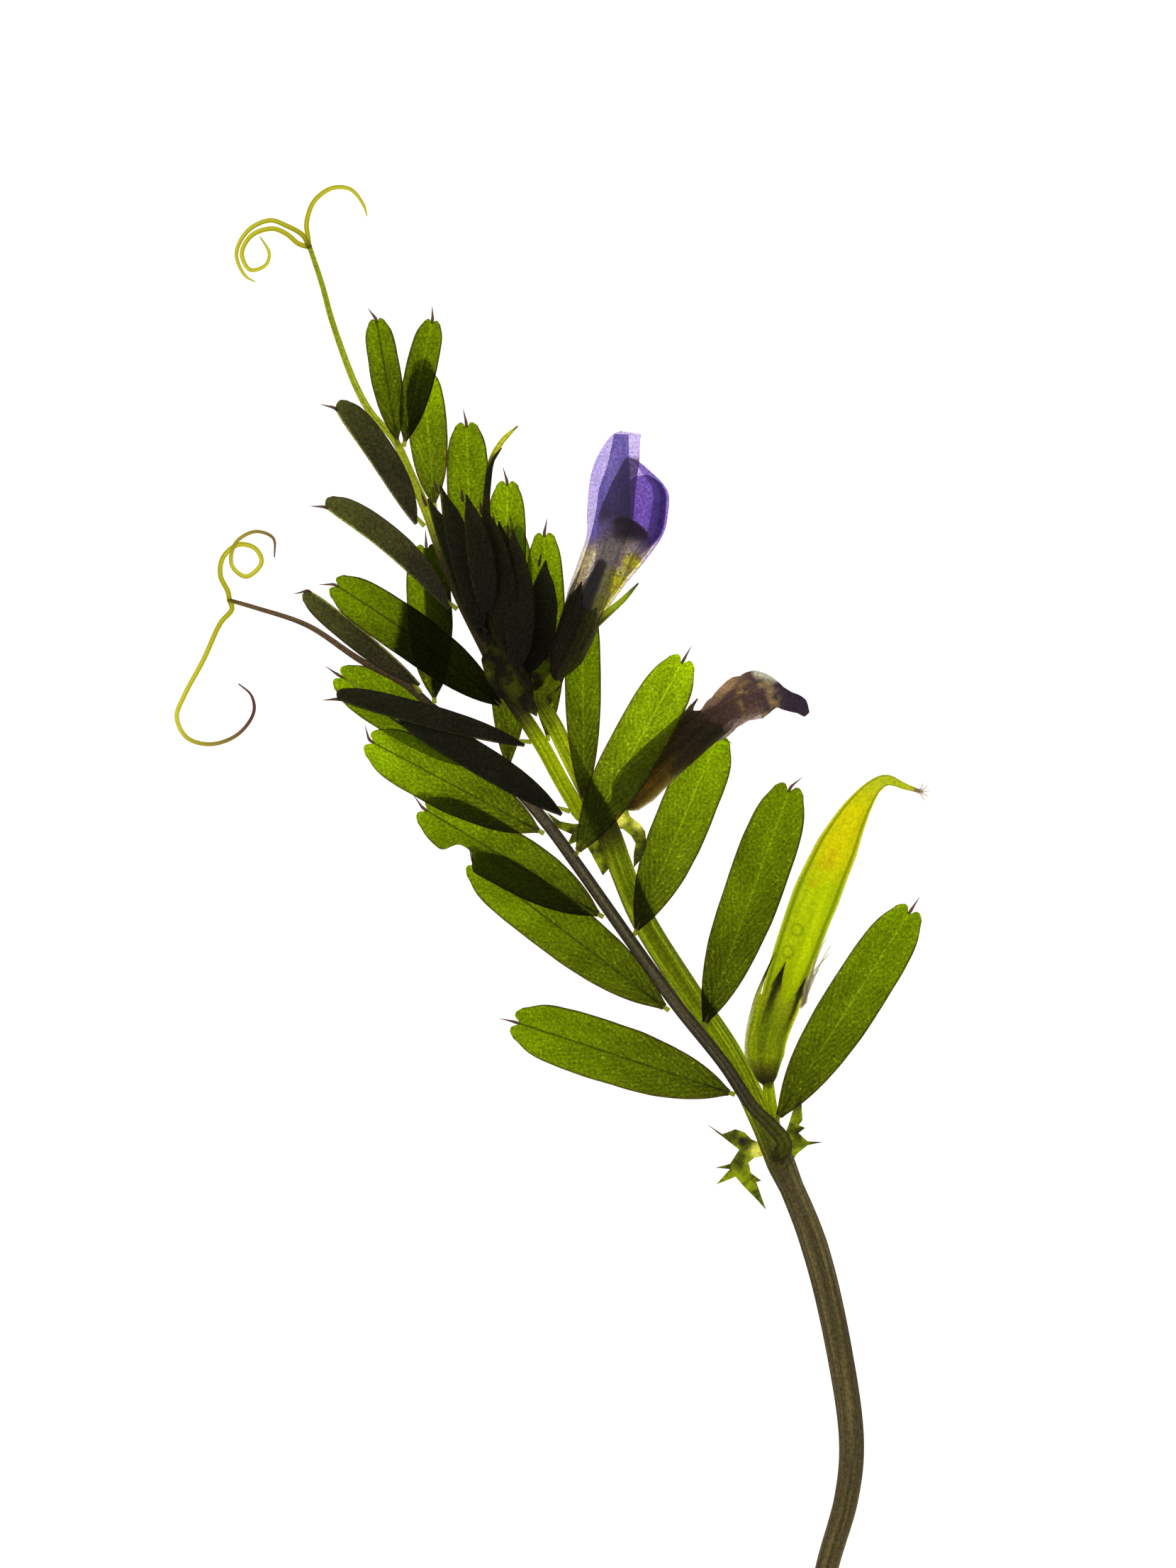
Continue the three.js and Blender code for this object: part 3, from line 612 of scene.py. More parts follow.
def open_leaflet(name, line, width, awn_turn=0, fold=8, roll=0, bite=None, tone=1.0, shut=0.0,
                 lapped=1.0, sample=0.0, over=()):
    """A leaflet spread open, each half raised by fold degrees. bite is a gap in one edge. Up to a share
    shut of its length, and past lapped across, shade is painted in as if it lay double there, and
    shade is painted too where it lies over the pieces named in over."""
    length = line.length
    LAID_BLADES[name] = (line, width)
    slope = math.radians(fold)

    def place_at(across, share):
        side = 1 if across > 0 else -1
        half = width / 2 * oblong(share)
        half *= 1 + 0.03 * noise.noise(Vector((share * 5, side * 3 + sample, sample)))
        if bite and side == bite["side"]:
            half *= 1 - bite["depth"] * math.exp(-(((share - bite["at"]) / bite["span"]) ** 4))
        middle, along, right, up = line.frame(share, roll)
        reach = abs(across)
        lift = reach * half * math.sin(slope)
        lift += 0.07 * width * reach**2 * noise.noise(Vector((share * 3.1, side * 2 + sample, 7)))
        end = smooth(0.84, 1.0, share)
        shoulder = 0.03 * math.sin(min(1.0, reach / 0.62) * math.pi / 2)
        shoulder -= 0.35 * max(0, reach - 0.55) ** 1.5
        forward = end * width * (shoulder - END_NOTCH * (1 - smooth(0, 0.4, reach)))
        return middle + right * across * half * math.cos(slope) + up * lift + along * forward

    def size_at(share):
        return width / 2 * oblong(share), length

    def tone_at(across, share):
        edge = shut + 0.05 * across
        # Shade is painted where the blade would lie double, and where it lies over another leaflet or the
        # stem.
        double = 1 - smooth(edge - 0.02, edge + 0.02, share) if shut else 0
        double = max(double, smooth(lapped - 0.06, lapped + 0.06, across))
        overlaps = [covered(other, place_at(across, share)) for other in over]
        return tone * (1 - DOUBLE_LAYER_SHADE * double) * (1 - OVERLAP_SHADE * max([0, *overlaps]))

    sheet = add_sheet(name, 22, 64, place_at, BLADE_THICKNESS, size_at, tone_at, sample, RIB_DEPTH)
    return sheet, *add_ends(name, line, AWN_LENGTH, awn_turn, END_NOTCH * width)


POINTED_OUTLINE = [
    (0, 0.3), (0.06, 0.55), (0.15, 0.8), (0.3, 0.97), (0.45, 1.0), (0.65, 0.88), (0.82, 0.58),
    (0.93, 0.27), (1, 0.05),
]


def folded_leaflet(name, line, width, crease, awn_turn=0, awn_length=AWN_LENGTH, tone=1.0,
                   sample=0.0, pointed=False):
    """A leaflet shut along its midrib. width is one half's, and crease is the side of its fold."""
    length = line.length

    def place_at(across, share):
        reach = abs(across)
        half = width * (value_at(POINTED_OUTLINE, share) if pointed else oblong(share))
        middle, along, right, up = line.frame(share)
        away = crease * (width / 2 - reach * half - (width - half) * 0.3)
        opening = FOLD_GAPE * math.sqrt(reach) * 0.5 * (1 if across > 0 else -1)
        opening += 0.05 * noise.noise(Vector((share * 4, across, sample)))
        end = smooth(0.86, 1.0, share)
        forward = end * width * (0.12 * math.sin(reach * math.pi) - 0.25 * max(0, reach - 0.7))
        return middle + right * away + up * opening + along * forward

    def size_at(share):
        return width * oblong(share), length

    sheet = add_sheet(
        name, 28, 56, place_at, FOLDED_THICKNESS, size_at, lambda across, share: tone, sample)
    shift = crease * width * 0.36
    edge = []
    for share in (0, 0.08, 0.2, 0.4, 0.6, 0.8, 1):
        aside = line.frame(share)[2] * shift * math.sin(math.pi * min(1, share * 2.5) / 2)
        edge.append(line.at(share) + aside)
    return sheet, *add_ends(name, Spine(edge, steps=8), awn_length, awn_turn, FOLDED_INSET)


# Leaf flesh: a net of side veins, pale specks where it holds less green, and a darker rim.
BLADE_MARKS = ("Midrib", "Veins", "Specks", "Rim", "Clouds", "Across", "Share", "Tone")
blade_group, asked = new_group("blade_markings", (), ("Spacing", "Scale"), BLADE_MARKS)
blade_parts, shade_parts = [
    put(blade_group, "ShaderNodeSeparateXYZ", {
        0: put(blade_group, "ShaderNodeAttribute", attribute_name=label).outputs["Vector"]})
    for label in ("blade", "shade")]
across_at, share_at, length_at = blade_parts.outputs
tone_at, sample_at, half_at = shade_parts.outputs
reach_at = sums(blade_group, "ABSOLUTE", across_at)
aside_mm = product(blade_group, across_at, half_at)
along_mm = product(blade_group, share_at, length_at)
flat_place = {0: aside_mm, 1: along_mm, 2: sample_at}
flat_place = put(blade_group, "ShaderNodeCombineXYZ", flat_place).outputs[0]
wander = {"Vector": flat_place, "Scale": 1.1, "Detail": 2.0}
wander = put(blade_group, "ShaderNodeTexNoise", wander).outputs[0]
from_rib = sums(blade_group, "ABSOLUTE", aside_mm)
veins_by = sums(blade_group, "SUBTRACT", along_mm, product(blade_group, from_rib, 2.4))
veins_by = sums(blade_group, "DIVIDE", veins_by, asked["Spacing"])
veins_by = sums(blade_group, "ADD", veins_by, product(blade_group, wander, 1.6))
vein_wave = sums(blade_group, "PINGPONG", veins_by, 0.5)
speck = {"Vector": flat_place, "Scale": asked["Scale"]}
speck = put(blade_group, "ShaderNodeTexVoronoi", speck).outputs["Distance"]
patchy = {"Vector": flat_place, "Scale": 0.9, "Detail": 3.0}
patchy = put(blade_group, "ShaderNodeTexNoise", patchy).outputs[0]
in_speck, in_patch = spread(blade_group, speck, 0.3, 0.14), spread(blade_group, patchy, 0.42, 0.6)
from_edge = product(blade_group, sums(blade_group, "SUBTRACT", 1.0, reach_at), half_at)
clouds = {"Vector": scaled(blade_group, flat_place, (1, 0.45, 1)), "Scale": 0.55, "Detail": 4.0}
clouds = put(blade_group, "ShaderNodeTexNoise", clouds).outputs[0]
put_out(blade_group, {
    "Midrib": spread(blade_group, from_rib, 0.11, 0.03),
    "Veins": spread(blade_group, vein_wave, 0.13, 0.02),
    "Specks": product(blade_group, in_speck, in_patch),
    "Rim": spread(blade_group, from_edge, 0.17, 0.05),
    "Clouds": spread(blade_group, clouds, 0.3, 0.7),
    "Across": across_at,
    "Share": share_at,
    "Tone": tone_at,
})


def blade_marks(tree, vein_spacing, speck_scale):
    """A blade's markings and a place's share of its width and length, as outputs of its group.
    vein_spacing is in millimetres, and speck_scale is how many specks fit in one."""
    return placed(tree, blade_group, Spacing=vein_spacing, Scale=speck_scale)


# The colour of the shade painted along the midrib crease of leaflets that have begun to fold.
CREASE_SHADE_COLOUR = dye(46, 54, 6)


def leaf_skin(name, base, tip, vein, rim, creased=0.0):
    """A leaflet's flesh, from its colour at the base to its colour at the tip. creased says how dark
    the shade painted along its midrib is, as on blades that have begun to fold."""
    material, tree = new_finish(name)
    found = blade_marks(tree, 0.95, 2.3)
    colour = tint(tree, base, tip, spread(tree, found["Share"], 0.02, 0.98))
    colour = dimmed(tree, colour, spread(tree, found["Clouds"], 0, 1, 0.84, 1.14))
    colour = touch(tree, colour, vein, found["Specks"], 0.55)
    colour = touch(tree, colour, vein, found["Veins"], 0.34)
    if creased:
        # Painted shade along the midrib crease.
        colour = touch(tree, colour, CREASE_SHADE_COLOUR, found["Midrib"], creased)
    else:
        along_rib = spread(tree, found["Share"], 0.1, 0.5, 0.1, 0.45)
        colour = touch(tree, colour, vein, found["Midrib"], along_rib)
    colour = touch(tree, colour, rim, found["Rim"], 0.7)
    # Tone darkens a blade by its own tone and by any shade painted into it, where it would lie double or
    # lies over another piece.
    colour = dimmed(tree, grained(tree, colour, size=0.2, depth=0.3), found["Tone"])
    thin_skin(material, colour, clear=0.8, roughness=0.5, bump=found["Veins"])
    return material


open_dyes = dye(58, 66, 3), dye(108, 132, 1), dye(150, 176, 12), dye(70, 50, 24)
folded_dyes = dye(84, 78, 50), dye(118, 120, 62), dye(136, 138, 66), dye(84, 62, 50)
young_dyes = dye(44, 38, 26), dye(70, 68, 26), dye(88, 96, 26), dye(46, 36, 28)
leaf_flesh = leaf_skin("leaf_flesh", *open_dyes)
creased_flesh = leaf_skin("creased_leaf_flesh", *open_dyes, creased=0.8)
dark_flesh = leaf_skin("folded_leaf_flesh", *folded_dyes)
young_flesh = leaf_skin("young_leaf_flesh", *young_dyes)
OPEN_SKINS = {LEFT: creased_flesh, RIGHT: leaf_flesh}

rib_flesh, tree = new_finish("rib_flesh")
found = rind_marks(tree, 3.0)
colour = tint(tree, dye(120, 124, 20), dye(176, 178, 60), found["Streaks"])
thin_skin(rib_flesh, colour, clear=0.5, roughness=0.5)
awn_skin, tree = new_finish("awn_skin")
found = rind_marks(tree, 3.0)
colour = tint(tree, dye(74, 50, 44), dye(104, 74, 62), found["Streaks"])
thin_skin(awn_skin, colour, clear=0.3, roughness=0.5)


def finish_leaflet(parts, node, flesh, stalk_skin=rib_flesh):
    """Joins a blade, its tiny stalk and its awn, each with its own material."""
    finish_joined(parts, (flesh, stalk_skin, awn_skin), node)


LEAF_A_OPEN = [
    ("left_1", dict(at=5.8, side=LEFT, length=17.5, bearing=162, heights=(1.2, 0.2)),
     dict(width=4.8, roll=6, awn_turn=5)),
    ("left_2", dict(at=14.2, side=LEFT, length=18.6, bearing=143, heights=(1.5, 0.45)),
     dict(width=4.6, roll=12, awn_turn=-39)),
    ("left_3", dict(at=23.0, side=LEFT, length=15.9, bearing=149, heights=(1.5, 0.5)),
     dict(width=4.6, roll=12, awn_turn=-24, bite=dict(side=LEFT, at=0.72, span=0.07, depth=0.6),
          over=("leaf_a_blade_left_2",))),
    ("left_4", dict(at=31.0, side=LEFT, length=14.9, bearing=152, heights=(1.5, 1.0)),
     dict(width=4.4, awn_turn=-46, tone=1.15, over=("leaf_a_blade_left_3",))),
    ("left_5", dict(at=37.4, side=LEFT, length=13.8, bearing=149, heights=(0.26, 0.16), seat=-75),
     dict(width=4.0, fold=4, awn_turn=-3)),
    ("right_1", dict(at=2.0, side=RIGHT, length=19.0, bearing=57, heights=(1.0, 0.2)),
     dict(width=4.4, over=("stem",))),
    ("right_2", dict(at=11.3, side=RIGHT, length=19.4, bearing=70, heights=(2.0, 0.6)),
     dict(width=4.5, awn_turn=-31, tone=0.93, over=("stem",))),
    ("right_3", dict(at=20.3, side=RIGHT, length=16.3, bearing=67, heights=(1.6, 0.26)),
     dict(width=4.3, awn_turn=-95, tone=1.1, over=("stem",))),
    ("right_4", dict(at=27.9, side=RIGHT, length=16.9, bearing=61, heights=(3.55, 2.9), seat=35),
     dict(width=4.2, tone=1.32, over=("stem",))),
    ("right_5", dict(at=36.4, side=RIGHT, length=18.5, bearing=89, heights=(1.45, 1.5)),
     dict(width=3.4, awn_turn=15)),
    ("right_6", dict(at=44.2, side=RIGHT, length=11.8, bearing=93, heights=(1.4, 1.2), seat=20),
     dict(width=3.5, lapped=-0.2)),
]
for i, (name, growth, form) in enumerate(LEAF_A_OPEN):
    growth["at"] += LEAF_A_START
    line = leaflet_line(leaf_a_spine, LEAF_A_HALVES, **growth)
    parts = open_leaflet("leaf_a_blade_" + name, line, sample=i * 3.7, **form)
    finish_leaflet(parts, "leaf_a_leaflet_" + name, OPEN_SKINS[growth["side"]])
line = leaflet_line(
    leaf_a_spine, LEAF_A_HALVES, at=45.6 + LEAF_A_START, side=LEFT, length=11.3, bearing=141,
    heights=(1.7, 1.1), seat=115)
parts = folded_leaflet("leaf_a_blade_left_6", line, width=1.65, crease=RIGHT, awn_turn=51, sample=40)
finish_leaflet(parts, "leaf_a_leaflet_left_6", dark_flesh)

# ----------------------------------------------------------------------------- leaf B, its stalk
# The leaf of the middle node, lying over leaf A. Its stalk is greener, flushed brown at its middle,
# and ends in three tendrils.
LEAF_B_LINE = [
    (3.7, 8.1, 1.1), (2.5, 8.7, 2.0), (1.9, 9.7, 2.3), (0.9, 11.4, 2.65), (-0.4, 13.8, 3.05),
    (-1.6, 15.7, 3.3), (-3.1, 17.9, 3.5), (-4.6, 21.0, 3.6), (-6.8, 25.4, 3.5), (-8.2, 28.7, 3.2),
    (-9.3, 31.8, 2.9), (-10.7, 35.0, 2.4), (-11.9, 37.6, 2.1), (-13.8, 39.8, 1.8), (-15.0, 42.0, 1.5),
    (-16.8, 46.9, 0.9), (-17.6, 49.8, 0.65), (-18.6, 52.8, 0.5),
]
LEAF_B_HALVES = [(0, 0.58), (9, 0.56), (27, 0.4), (35, 0.28), (52, 0.18)]
LEAF_B_START = 1.6
leaf_b_spine = Spine(LEAF_B_LINE)
leaf_b_stalk = add_rod(
    "leaf_b_stalk_grooved", leaf_b_spine, LEAF_B_HALVES, sides=28, rings=130, swell=stalk_groove)
green_stalk, tree = new_finish("green_stalk_rind")
found = rind_marks(tree, 2.4)
colour = tint(tree, dye(126, 146, 3), dye(212, 232, 8), found["Streaks"])
flushed = tint(tree, dye(44, 34, 24), dye(70, 60, 32), found["Streaks"])
colour = tint(tree, colour, flushed, spread(tree, found["Along"], 8.5, 11))
green_end = tint(tree, dye(120, 132, 12), dye(186, 194, 50), found["Streaks"])
colour = tint(tree, colour, green_end, spread(tree, found["Along"], 24, 28))
colour = touch(tree, colour, dye(62, 66, 10), found["Lines"], 0.5)
colour = grained(tree, colour, size=0.22, depth=0.25)
thin_skin(green_stalk, colour, clear=0.3, roughness=0.45, bump=found["Fibres"])
finish(leaf_b_stalk, green_stalk, "leaf_b_stalk")

# ---------------------------------------------------------------------------- leaf B, leaflets
# Made as those of leaf A. Four on the left are folded shut, so light has to come through both of
# their halves and they look dark. One more on the left is open, with the shade of a half-shut blade
# painted over the part nearest its stalk.
LEAF_B_OPEN = [
    ("left_3", dict(at=10.6, side=LEFT, length=15.9, bearing=144, heights=(3.0, 1.8), bow=-0.3),
     dict(width=3.8, fold=14, awn_turn=32, shut=0.62, tone=0.88)),
    ("left_6", dict(at=32.5, side=LEFT, length=9.5, bearing=100, heights=(2.1, 0.9), seat=105),
     dict(width=2.4, awn_turn=25, tone=0.93)),
    ("right_1", dict(at=1.1, side=RIGHT, length=15.9, bearing=90.7, heights=(3.7, 2.2), seat=30),
     dict(width=2.8, awn_turn=25, over=("leaf_a_blade_right_4",))),
    ("right_2", dict(at=6.6, side=RIGHT, length=15.6, bearing=91, heights=(2.4, 2.1), seat=-35),
     dict(width=3.0, awn_turn=-12)),
    ("right_3", dict(at=13.6, side=RIGHT, length=13.7, bearing=89, heights=(2.9, 2.1)),
     dict(width=3.1, awn_turn=17, tone=1.1)),
    ("right_4", dict(at=19.0, side=RIGHT, length=13.4, bearing=92, heights=(3.4, 2.4)),
     dict(width=3.3, awn_turn=10)),
    ("right_5", dict(at=26.9, side=RIGHT, length=10.4, bearing=95, heights=(2.2, 1.1)),
     dict(width=3.0, roll=-6, awn_turn=-20, tone=1.15)),
    ("right_6", dict(at=32.2, side=RIGHT, length=9.5, bearing=77, heights=(3.2, 2.5), seat=20),
     dict(width=2.4, awn_turn=14, tone=0.9, over=("leaf_b_blade_right_5",))),
]
for i, (name, growth, form) in enumerate(LEAF_B_OPEN):
    growth["at"] += LEAF_B_START
    line = leaflet_line(leaf_b_spine, LEAF_B_HALVES, **growth)
    parts = open_leaflet("leaf_b_blade_" + name, line, sample=50 + i * 2.9, **form)
    finish_leaflet(parts, "leaf_b_leaflet_" + name, OPEN_SKINS[growth["side"]])

LEAF_B_FOLDED = [
    ("left_1", dict(at=1.0, side=LEFT, length=14.4, bearing=149, heights=(2.9, 1.9), seat=20),
     dict(width=2.3, tone=0.55)),
    ("left_2", dict(at=7.2, side=LEFT, length=14.9, bearing=165, heights=(3.3, 2.7), seat=20),
     dict(width=1.7, awn_turn=18, tone=0.6)),
    ("left_4", dict(at=19.0, side=LEFT, length=12.6, bearing=139, heights=(3.3, 2.5), seat=20, bow=-0.7),
     dict(width=2.0, awn_turn=26, tone=1.1)),
    ("left_5", dict(at=25.9, side=LEFT, length=11.1, bearing=123, heights=(2.7, 1.9), seat=20, bow=-0.35),
     dict(width=2.1, awn_turn=35)),
]
for i, (name, growth, form) in enumerate(LEAF_B_FOLDED):
    growth["at"] += LEAF_B_START
    line = leaflet_line(leaf_b_spine, LEAF_B_HALVES, **growth)
    parts = folded_leaflet("leaf_b_blade_" + name, line, crease=LEFT, sample=80 + i, **form)
    finish_leaflet(parts, "leaf_b_leaflet_" + name, dark_flesh)

# -------------------------------------------------------------------------------- the young leaf
# At the tip the next leaf is still packed together: seven pointed leaflets, each folded shut and
# lying over the next, round a thin stalk that ends in two short tendrils.
YOUNG_LINE = [
    (-0.9, 18.0, 4.1), (-1.7, 18.9, 4.6), (-3.0, 21.0, 4.9), (-4.4, 23.5, 5.0), (-5.0, 27.0, 4.9),
    (-4.9, 31.0, 4.6), (-4.7, 34.0, 4.2), (-4.4, 36.0, 3.8), (-3.6, 37.5, 3.3), (-2.4, 38.7, 2.9),
]
YOUNG_HALVES = [(0, 0.42), (8, 0.34), (19, 0.25), (21.6, 0.2), (23, 0.05)]
YOUNG_START = 1.3
young_spine = Spine(YOUNG_LINE)
young_main = add_rod("young_leaf_stalk_fine", young_spine, YOUNG_HALVES, sides=16, rings=70)
second_tip = Spine([(-4.7, 33.2, 4.3), (-4.6, 34.8, 4.15), (-4.3, 36.0, 3.95), (-3.6, 37.0, 3.7)])
SECOND_TIP_HALVES = [(0, 0.15), (3.2, 0.15), (4.1, 0.04)]
young_second = add_rod("young_leaf_second_tip", second_tip, SECOND_TIP_HALVES, sides=10, rings=20)
young_stalk = joined([young_main, young_second])
young_rind, tree = new_finish("young_stalk_rind")
found = rind_marks(tree, 2.4)
colour = tint(tree, dye(40, 34, 18), dye(78, 74, 26), found["Streaks"])
ends = tint(tree, dye(140, 146, 8), dye(206, 202, 50), found["Streaks"])
colour = tint(tree, colour, ends, spread(tree, found["Along"], 18.5, 20))
colour = tint(tree, colour, dye(70, 52, 32), spread(tree, found["Along"], 22.2, 23))
thin_skin(young_rind, grained(tree, colour, size=0.2, depth=0.25), clear=0.4, roughness=0.45)
finish(young_stalk, young_rind, "young_leaf_stalk")

YOUNG_FOLDED = [
    ("left_1", dict(at=4.2, side=LEFT, length=11.7, bearing=112, heights=(4.6, 4.2), seat=-30), 2.0),
    ("left_2", dict(at=5.2, side=LEFT, length=11.2, bearing=105, heights=(5.5, 4.6), seat=20), 2.1),
    ("left_3", dict(at=6.2, side=LEFT, length=8.9, bearing=99, heights=(6.7, 5.6), seat=100), 2.0),
    ("right_1", dict(at=3.4, side=RIGHT, length=10.2, bearing=98, heights=(5.9, 5.3), seat=40), 2.2),
    ("right_2", dict(at=2.4, side=RIGHT, length=9.8, bearing=96, heights=(4.9, 4.4), seat=-20), 2.3),
    ("right_3", dict(at=1.3, side=RIGHT, length=10.3, bearing=91, heights=(5.85, 5.1), seat=70), 2.3),
    ("right_4", dict(at=0.3, side=RIGHT, length=8.5, bearing=79, heights=(4.4, 3.6), seat=-40), 2.6),
]
for i, (name, growth, width) in enumerate(YOUNG_FOLDED):
    growth["at"] += YOUNG_START
    line = leaflet_line(young_spine, YOUNG_HALVES, **growth)
    parts = folded_leaflet(
        "young_blade_" + name, line, width, LEFT, awn_length=0.9, sample=90 + i, pointed=True)
    finish_leaflet(parts, "young_leaf_leaflet_" + name, young_flesh, young_rind)

# --------------------------------------------------------------------------------- the tendrils
# Fine, smooth, springy branches past each leaf's last leaflets, coiled where they met nothing.
# Each is a round rod that tapers all the way, and the tips have dried to purplish brown.

# The first point of each line lies inside the end of its leaf's stalk.
TENDRIL_LINES = {
    "leaf_a_tendril_upper": [
        (-24.8, 25.25, 0.33),
        (-24.9, 25.9, 0.35), (-25.5, 27.2, 0.25), (-25.3, 28.6, 0.25), (-24.1, 29.6, 0.3),
        (-22.8, 29.3, 0.4), (-22.3, 28.2, 0.5), (-23.5, 27.1, 0.65), (-24.6, 28.0, 0.8),
        (-24.3, 29.7, 0.95), (-22.8, 30.6, 0.7), (-21.4, 30.1, 0.4), (-21.3, 28.6, 0.2),
    ],
    "leaf_a_tendril_lower": [
        (-24.8, 25.3, 0.33),
        (-24.6, 24.6, 0.4), (-25.5, 23.5, 0.35), (-26.8, 20.7, 0.25), (-28.3, 17.9, 0.2),
        (-28.9, 16.2, 0.2), (-28.1, 14.6, 0.2), (-26.2, 14.1, 0.25), (-24.1, 14.9, 0.35),
        (-22.9, 16.6, 0.5), (-23.1, 17.9, 0.6), (-24.1, 18.8, 0.7),
    ],
    "leaf_b_tendril_right": [
        (-18.6, 52.7, 0.5),
        (-18.7, 53.5, 0.5), (-18.8, 54.6, 0.45), (-18.2, 56.3, 0.35), (-16.8, 57.3, 0.3),
        (-15.4, 57.2, 0.3), (-14.4, 56.0, 0.4), (-14.1, 55.1, 0.5),
    ],
    "leaf_b_tendril_outer": [
        (-18.6, 52.7, 0.5),
        (-19.1, 53.6, 0.95), (-20.4, 54.35, 0.9), (-21.6, 54.75, 0.85), (-23.3, 54.0, 0.75),
        (-24.25, 52.2, 0.6), (-23.6, 50.5, 0.4), (-22.8, 50.0, 0.3),
    ],
    "leaf_b_tendril_inner": [
        (-18.6, 52.7, 0.5),
        (-19.4, 52.95, 0.4), (-20.4, 53.75, 0.35), (-21.5, 54.15, 0.25), (-23.1, 53.6, 0.2),
        (-23.85, 52.2, 0.2), (-23.2, 50.95, 0.25), (-22.0, 51.3, 0.35), (-21.7, 52.2, 0.5),
        (-22.4, 53.5, 0.8),
    ],
}
tendril_skin, tree = new_finish("tendril_skin")
found = rind_marks(tree, 1.6)
colour = tint(tree, dye(134, 130, 12), dye(200, 196, 60), found["Streaks"])
colour = tint(tree, colour, dye(84, 52, 44), spread(tree, found["Along"], 11, 18))
thin_skin(tendril_skin, colour, clear=0.4, roughness=0.35)
for name, points in TENDRIL_LINES.items():
    spine = Spine(points)
    halves = [(0, 0.21), (spine.length * 0.55, 0.18), (spine.length * 0.9, 0.13), (spine.length, 0.05)]
    tendril = add_rod(name + "_smooth", spine, halves, sides=14, rings=90)
    finish(tendril, tendril_skin, name)

# --------------------------------------------------------------------------------- the stipules
# A pair of small leafy flaps at each node, drawn out into spiny teeth and cut here to an outline.
# Pale necks join some of them to the stem, and the lower left one has a dark nectar spot.
STIPULE_HEIGHT = 0.42
STIPULE_THICKNESS = 0.24
TOP_THICKNESS = 0.2
STIPULE_OUTLINES = {
    "stipule_lower_left": [
        (16.6, -17.9), (16.5, -16.9), (15.75, -16.6), (15.2, -16.05), (14.5, -15.8), (13.5, -16.2),
        (12.4, -15.5), (13.9, -16.7), (14.8, -17.4), (14.1, -18.5), (12.9, -18.8), (14.1, -18.9),
        (13.0, -20.1), (14.5, -19.5), (15.3, -20.4), (16.1, -21.2), (16.9, -22.1), (16.1, -19.9),
        (16.5, -19.8), (15.7, -19.2), (15.5, -18.4), (16.0, -18.0),
    ],
    "stipule_lower_right": [
        (18.5, -18.9), (18.9, -18.3), (19.3, -17.7), (20.1, -17.05), (21.3, -16.8), (20.1, -16.75),
        (19.4, -16.1), (19.9, -15.7), (19.4, -15.5), (19.7, -15.1), (19.6, -13.1), (18.95, -14.4),
        (18.65, -15.4), (18.3, -16.4), (18.0, -17.4),
    ],
    "stipule_upper_left": [
        (3.9, 7.9), (2.9, 7.9), (1.9, 7.9), (0.9, 8.1), (-0.2, 8.85), (0.7, 7.6), (1.8, 7.1),
        (1.4, 6.2), (2.6, 6.7), (3.3, 5.6), (4.2, 3.9), (4.8, 4.6), (4.4, 6.3),
    ],
    "stipule_upper_right": [
        (5.0, 7.6), (5.1, 8.5), (5.7, 9.0), (6.1, 9.3), (6.3, 8.5), (7.1, 7.9), (7.5, 7.3), (7.6, 6.2),
        (7.2, 5.2), (6.6, 4.5), (6.6, 5.6), (6.75, 6.4), (6.4, 7.0), (5.8, 7.5),
    ],
}
NECTAR_SPOT = (15.05, -16.75)
PALE_NECKS = [(16.2, -17.5), (5.5, 8.2), (7.0, 8.0)]


def outline_sheet(name, outline, height, thickness, swell):
    """A flat piece cut to an outline, from a filled ring of points. swell is how much it cockles."""
    bpy.ops.object.select_all(action="DESELECT")
    bpy.ops.mesh.primitive_circle_add(vertices=len(outline), fill_type="NGON")
    sheet = bpy.context.object
    sheet.name = name
    for point, (x, y) in zip(sheet.data.vertices, outline):
        point.co = (x, y, 0)
    bpy.ops.object.mode_set(mode="EDIT")
    bpy.ops.mesh.select_all(action="SELECT")
    bpy.ops.mesh.quads_convert_to_tris(quad_method="BEAUTY", ngon_method="BEAUTY")
    bpy.ops.mesh.subdivide(number_cuts=3)
    bpy.ops.mesh.normals_make_consistent(inside=False)
    bpy.ops.object.mode_set(mode="OBJECT")
    if sheet.data.polygons[0].normal.z < 0:
        sheet.data.flip_normals()
    for point in sheet.data.vertices:
        lift = swell * noise.noise(Vector((point.co.x * 0.7, point.co.y * 0.7, 3)))
        point.co = in_place(Vector((point.co.x, point.co.y, height + lift)))
    give_thickness(sheet, thickness)
    bpy.ops.object.shade_smooth_by_angle(angle=math.radians(40))
    return sheet


# A spot is full inside its core and fades out to its reach, on any side of its centre.
spot_group, asked = new_group("spot", ("Place", "Centre"), ("Reach", "Core"), ("Near",))
away = {0: scaled(spot_group, asked["Place"], (1, 1, 0)), 1: asked["Centre"]}
away = put(spot_group, "ShaderNodeVectorMath", away, operation="DISTANCE").outputs["Value"]
put_out(spot_group, {"Near": spread(spot_group, away, asked["Reach"], asked["Core"])})


def nearness(tree, place, x, y, reach):
    """1 at a spot of the drawing and 0 beyond its reach in millimetres."""
    spot = in_place(Vector((x, y, 0)))
    centre, core = (spot.x, spot.y, 0), 0.4 * reach * MM
    return placed(tree, spot_group, Place=place, Centre=centre, Reach=reach * MM, Core=core)["Near"]


# Patches of a stipule's flesh hold less green than the rest.
patch_group, asked = new_group("light_patches", ("Place",), ("Scale", "Low", "High"), ("Patches",))
patches = {"Vector": asked["Place"], "Scale": asked["Scale"], "Detail": 3.0}
patches = put(patch_group, "ShaderNodeTexNoise", patches).outputs[0]
put_out(patch_group, {"Patches": spread(patch_group, patches, asked["Low"], asked["High"])})


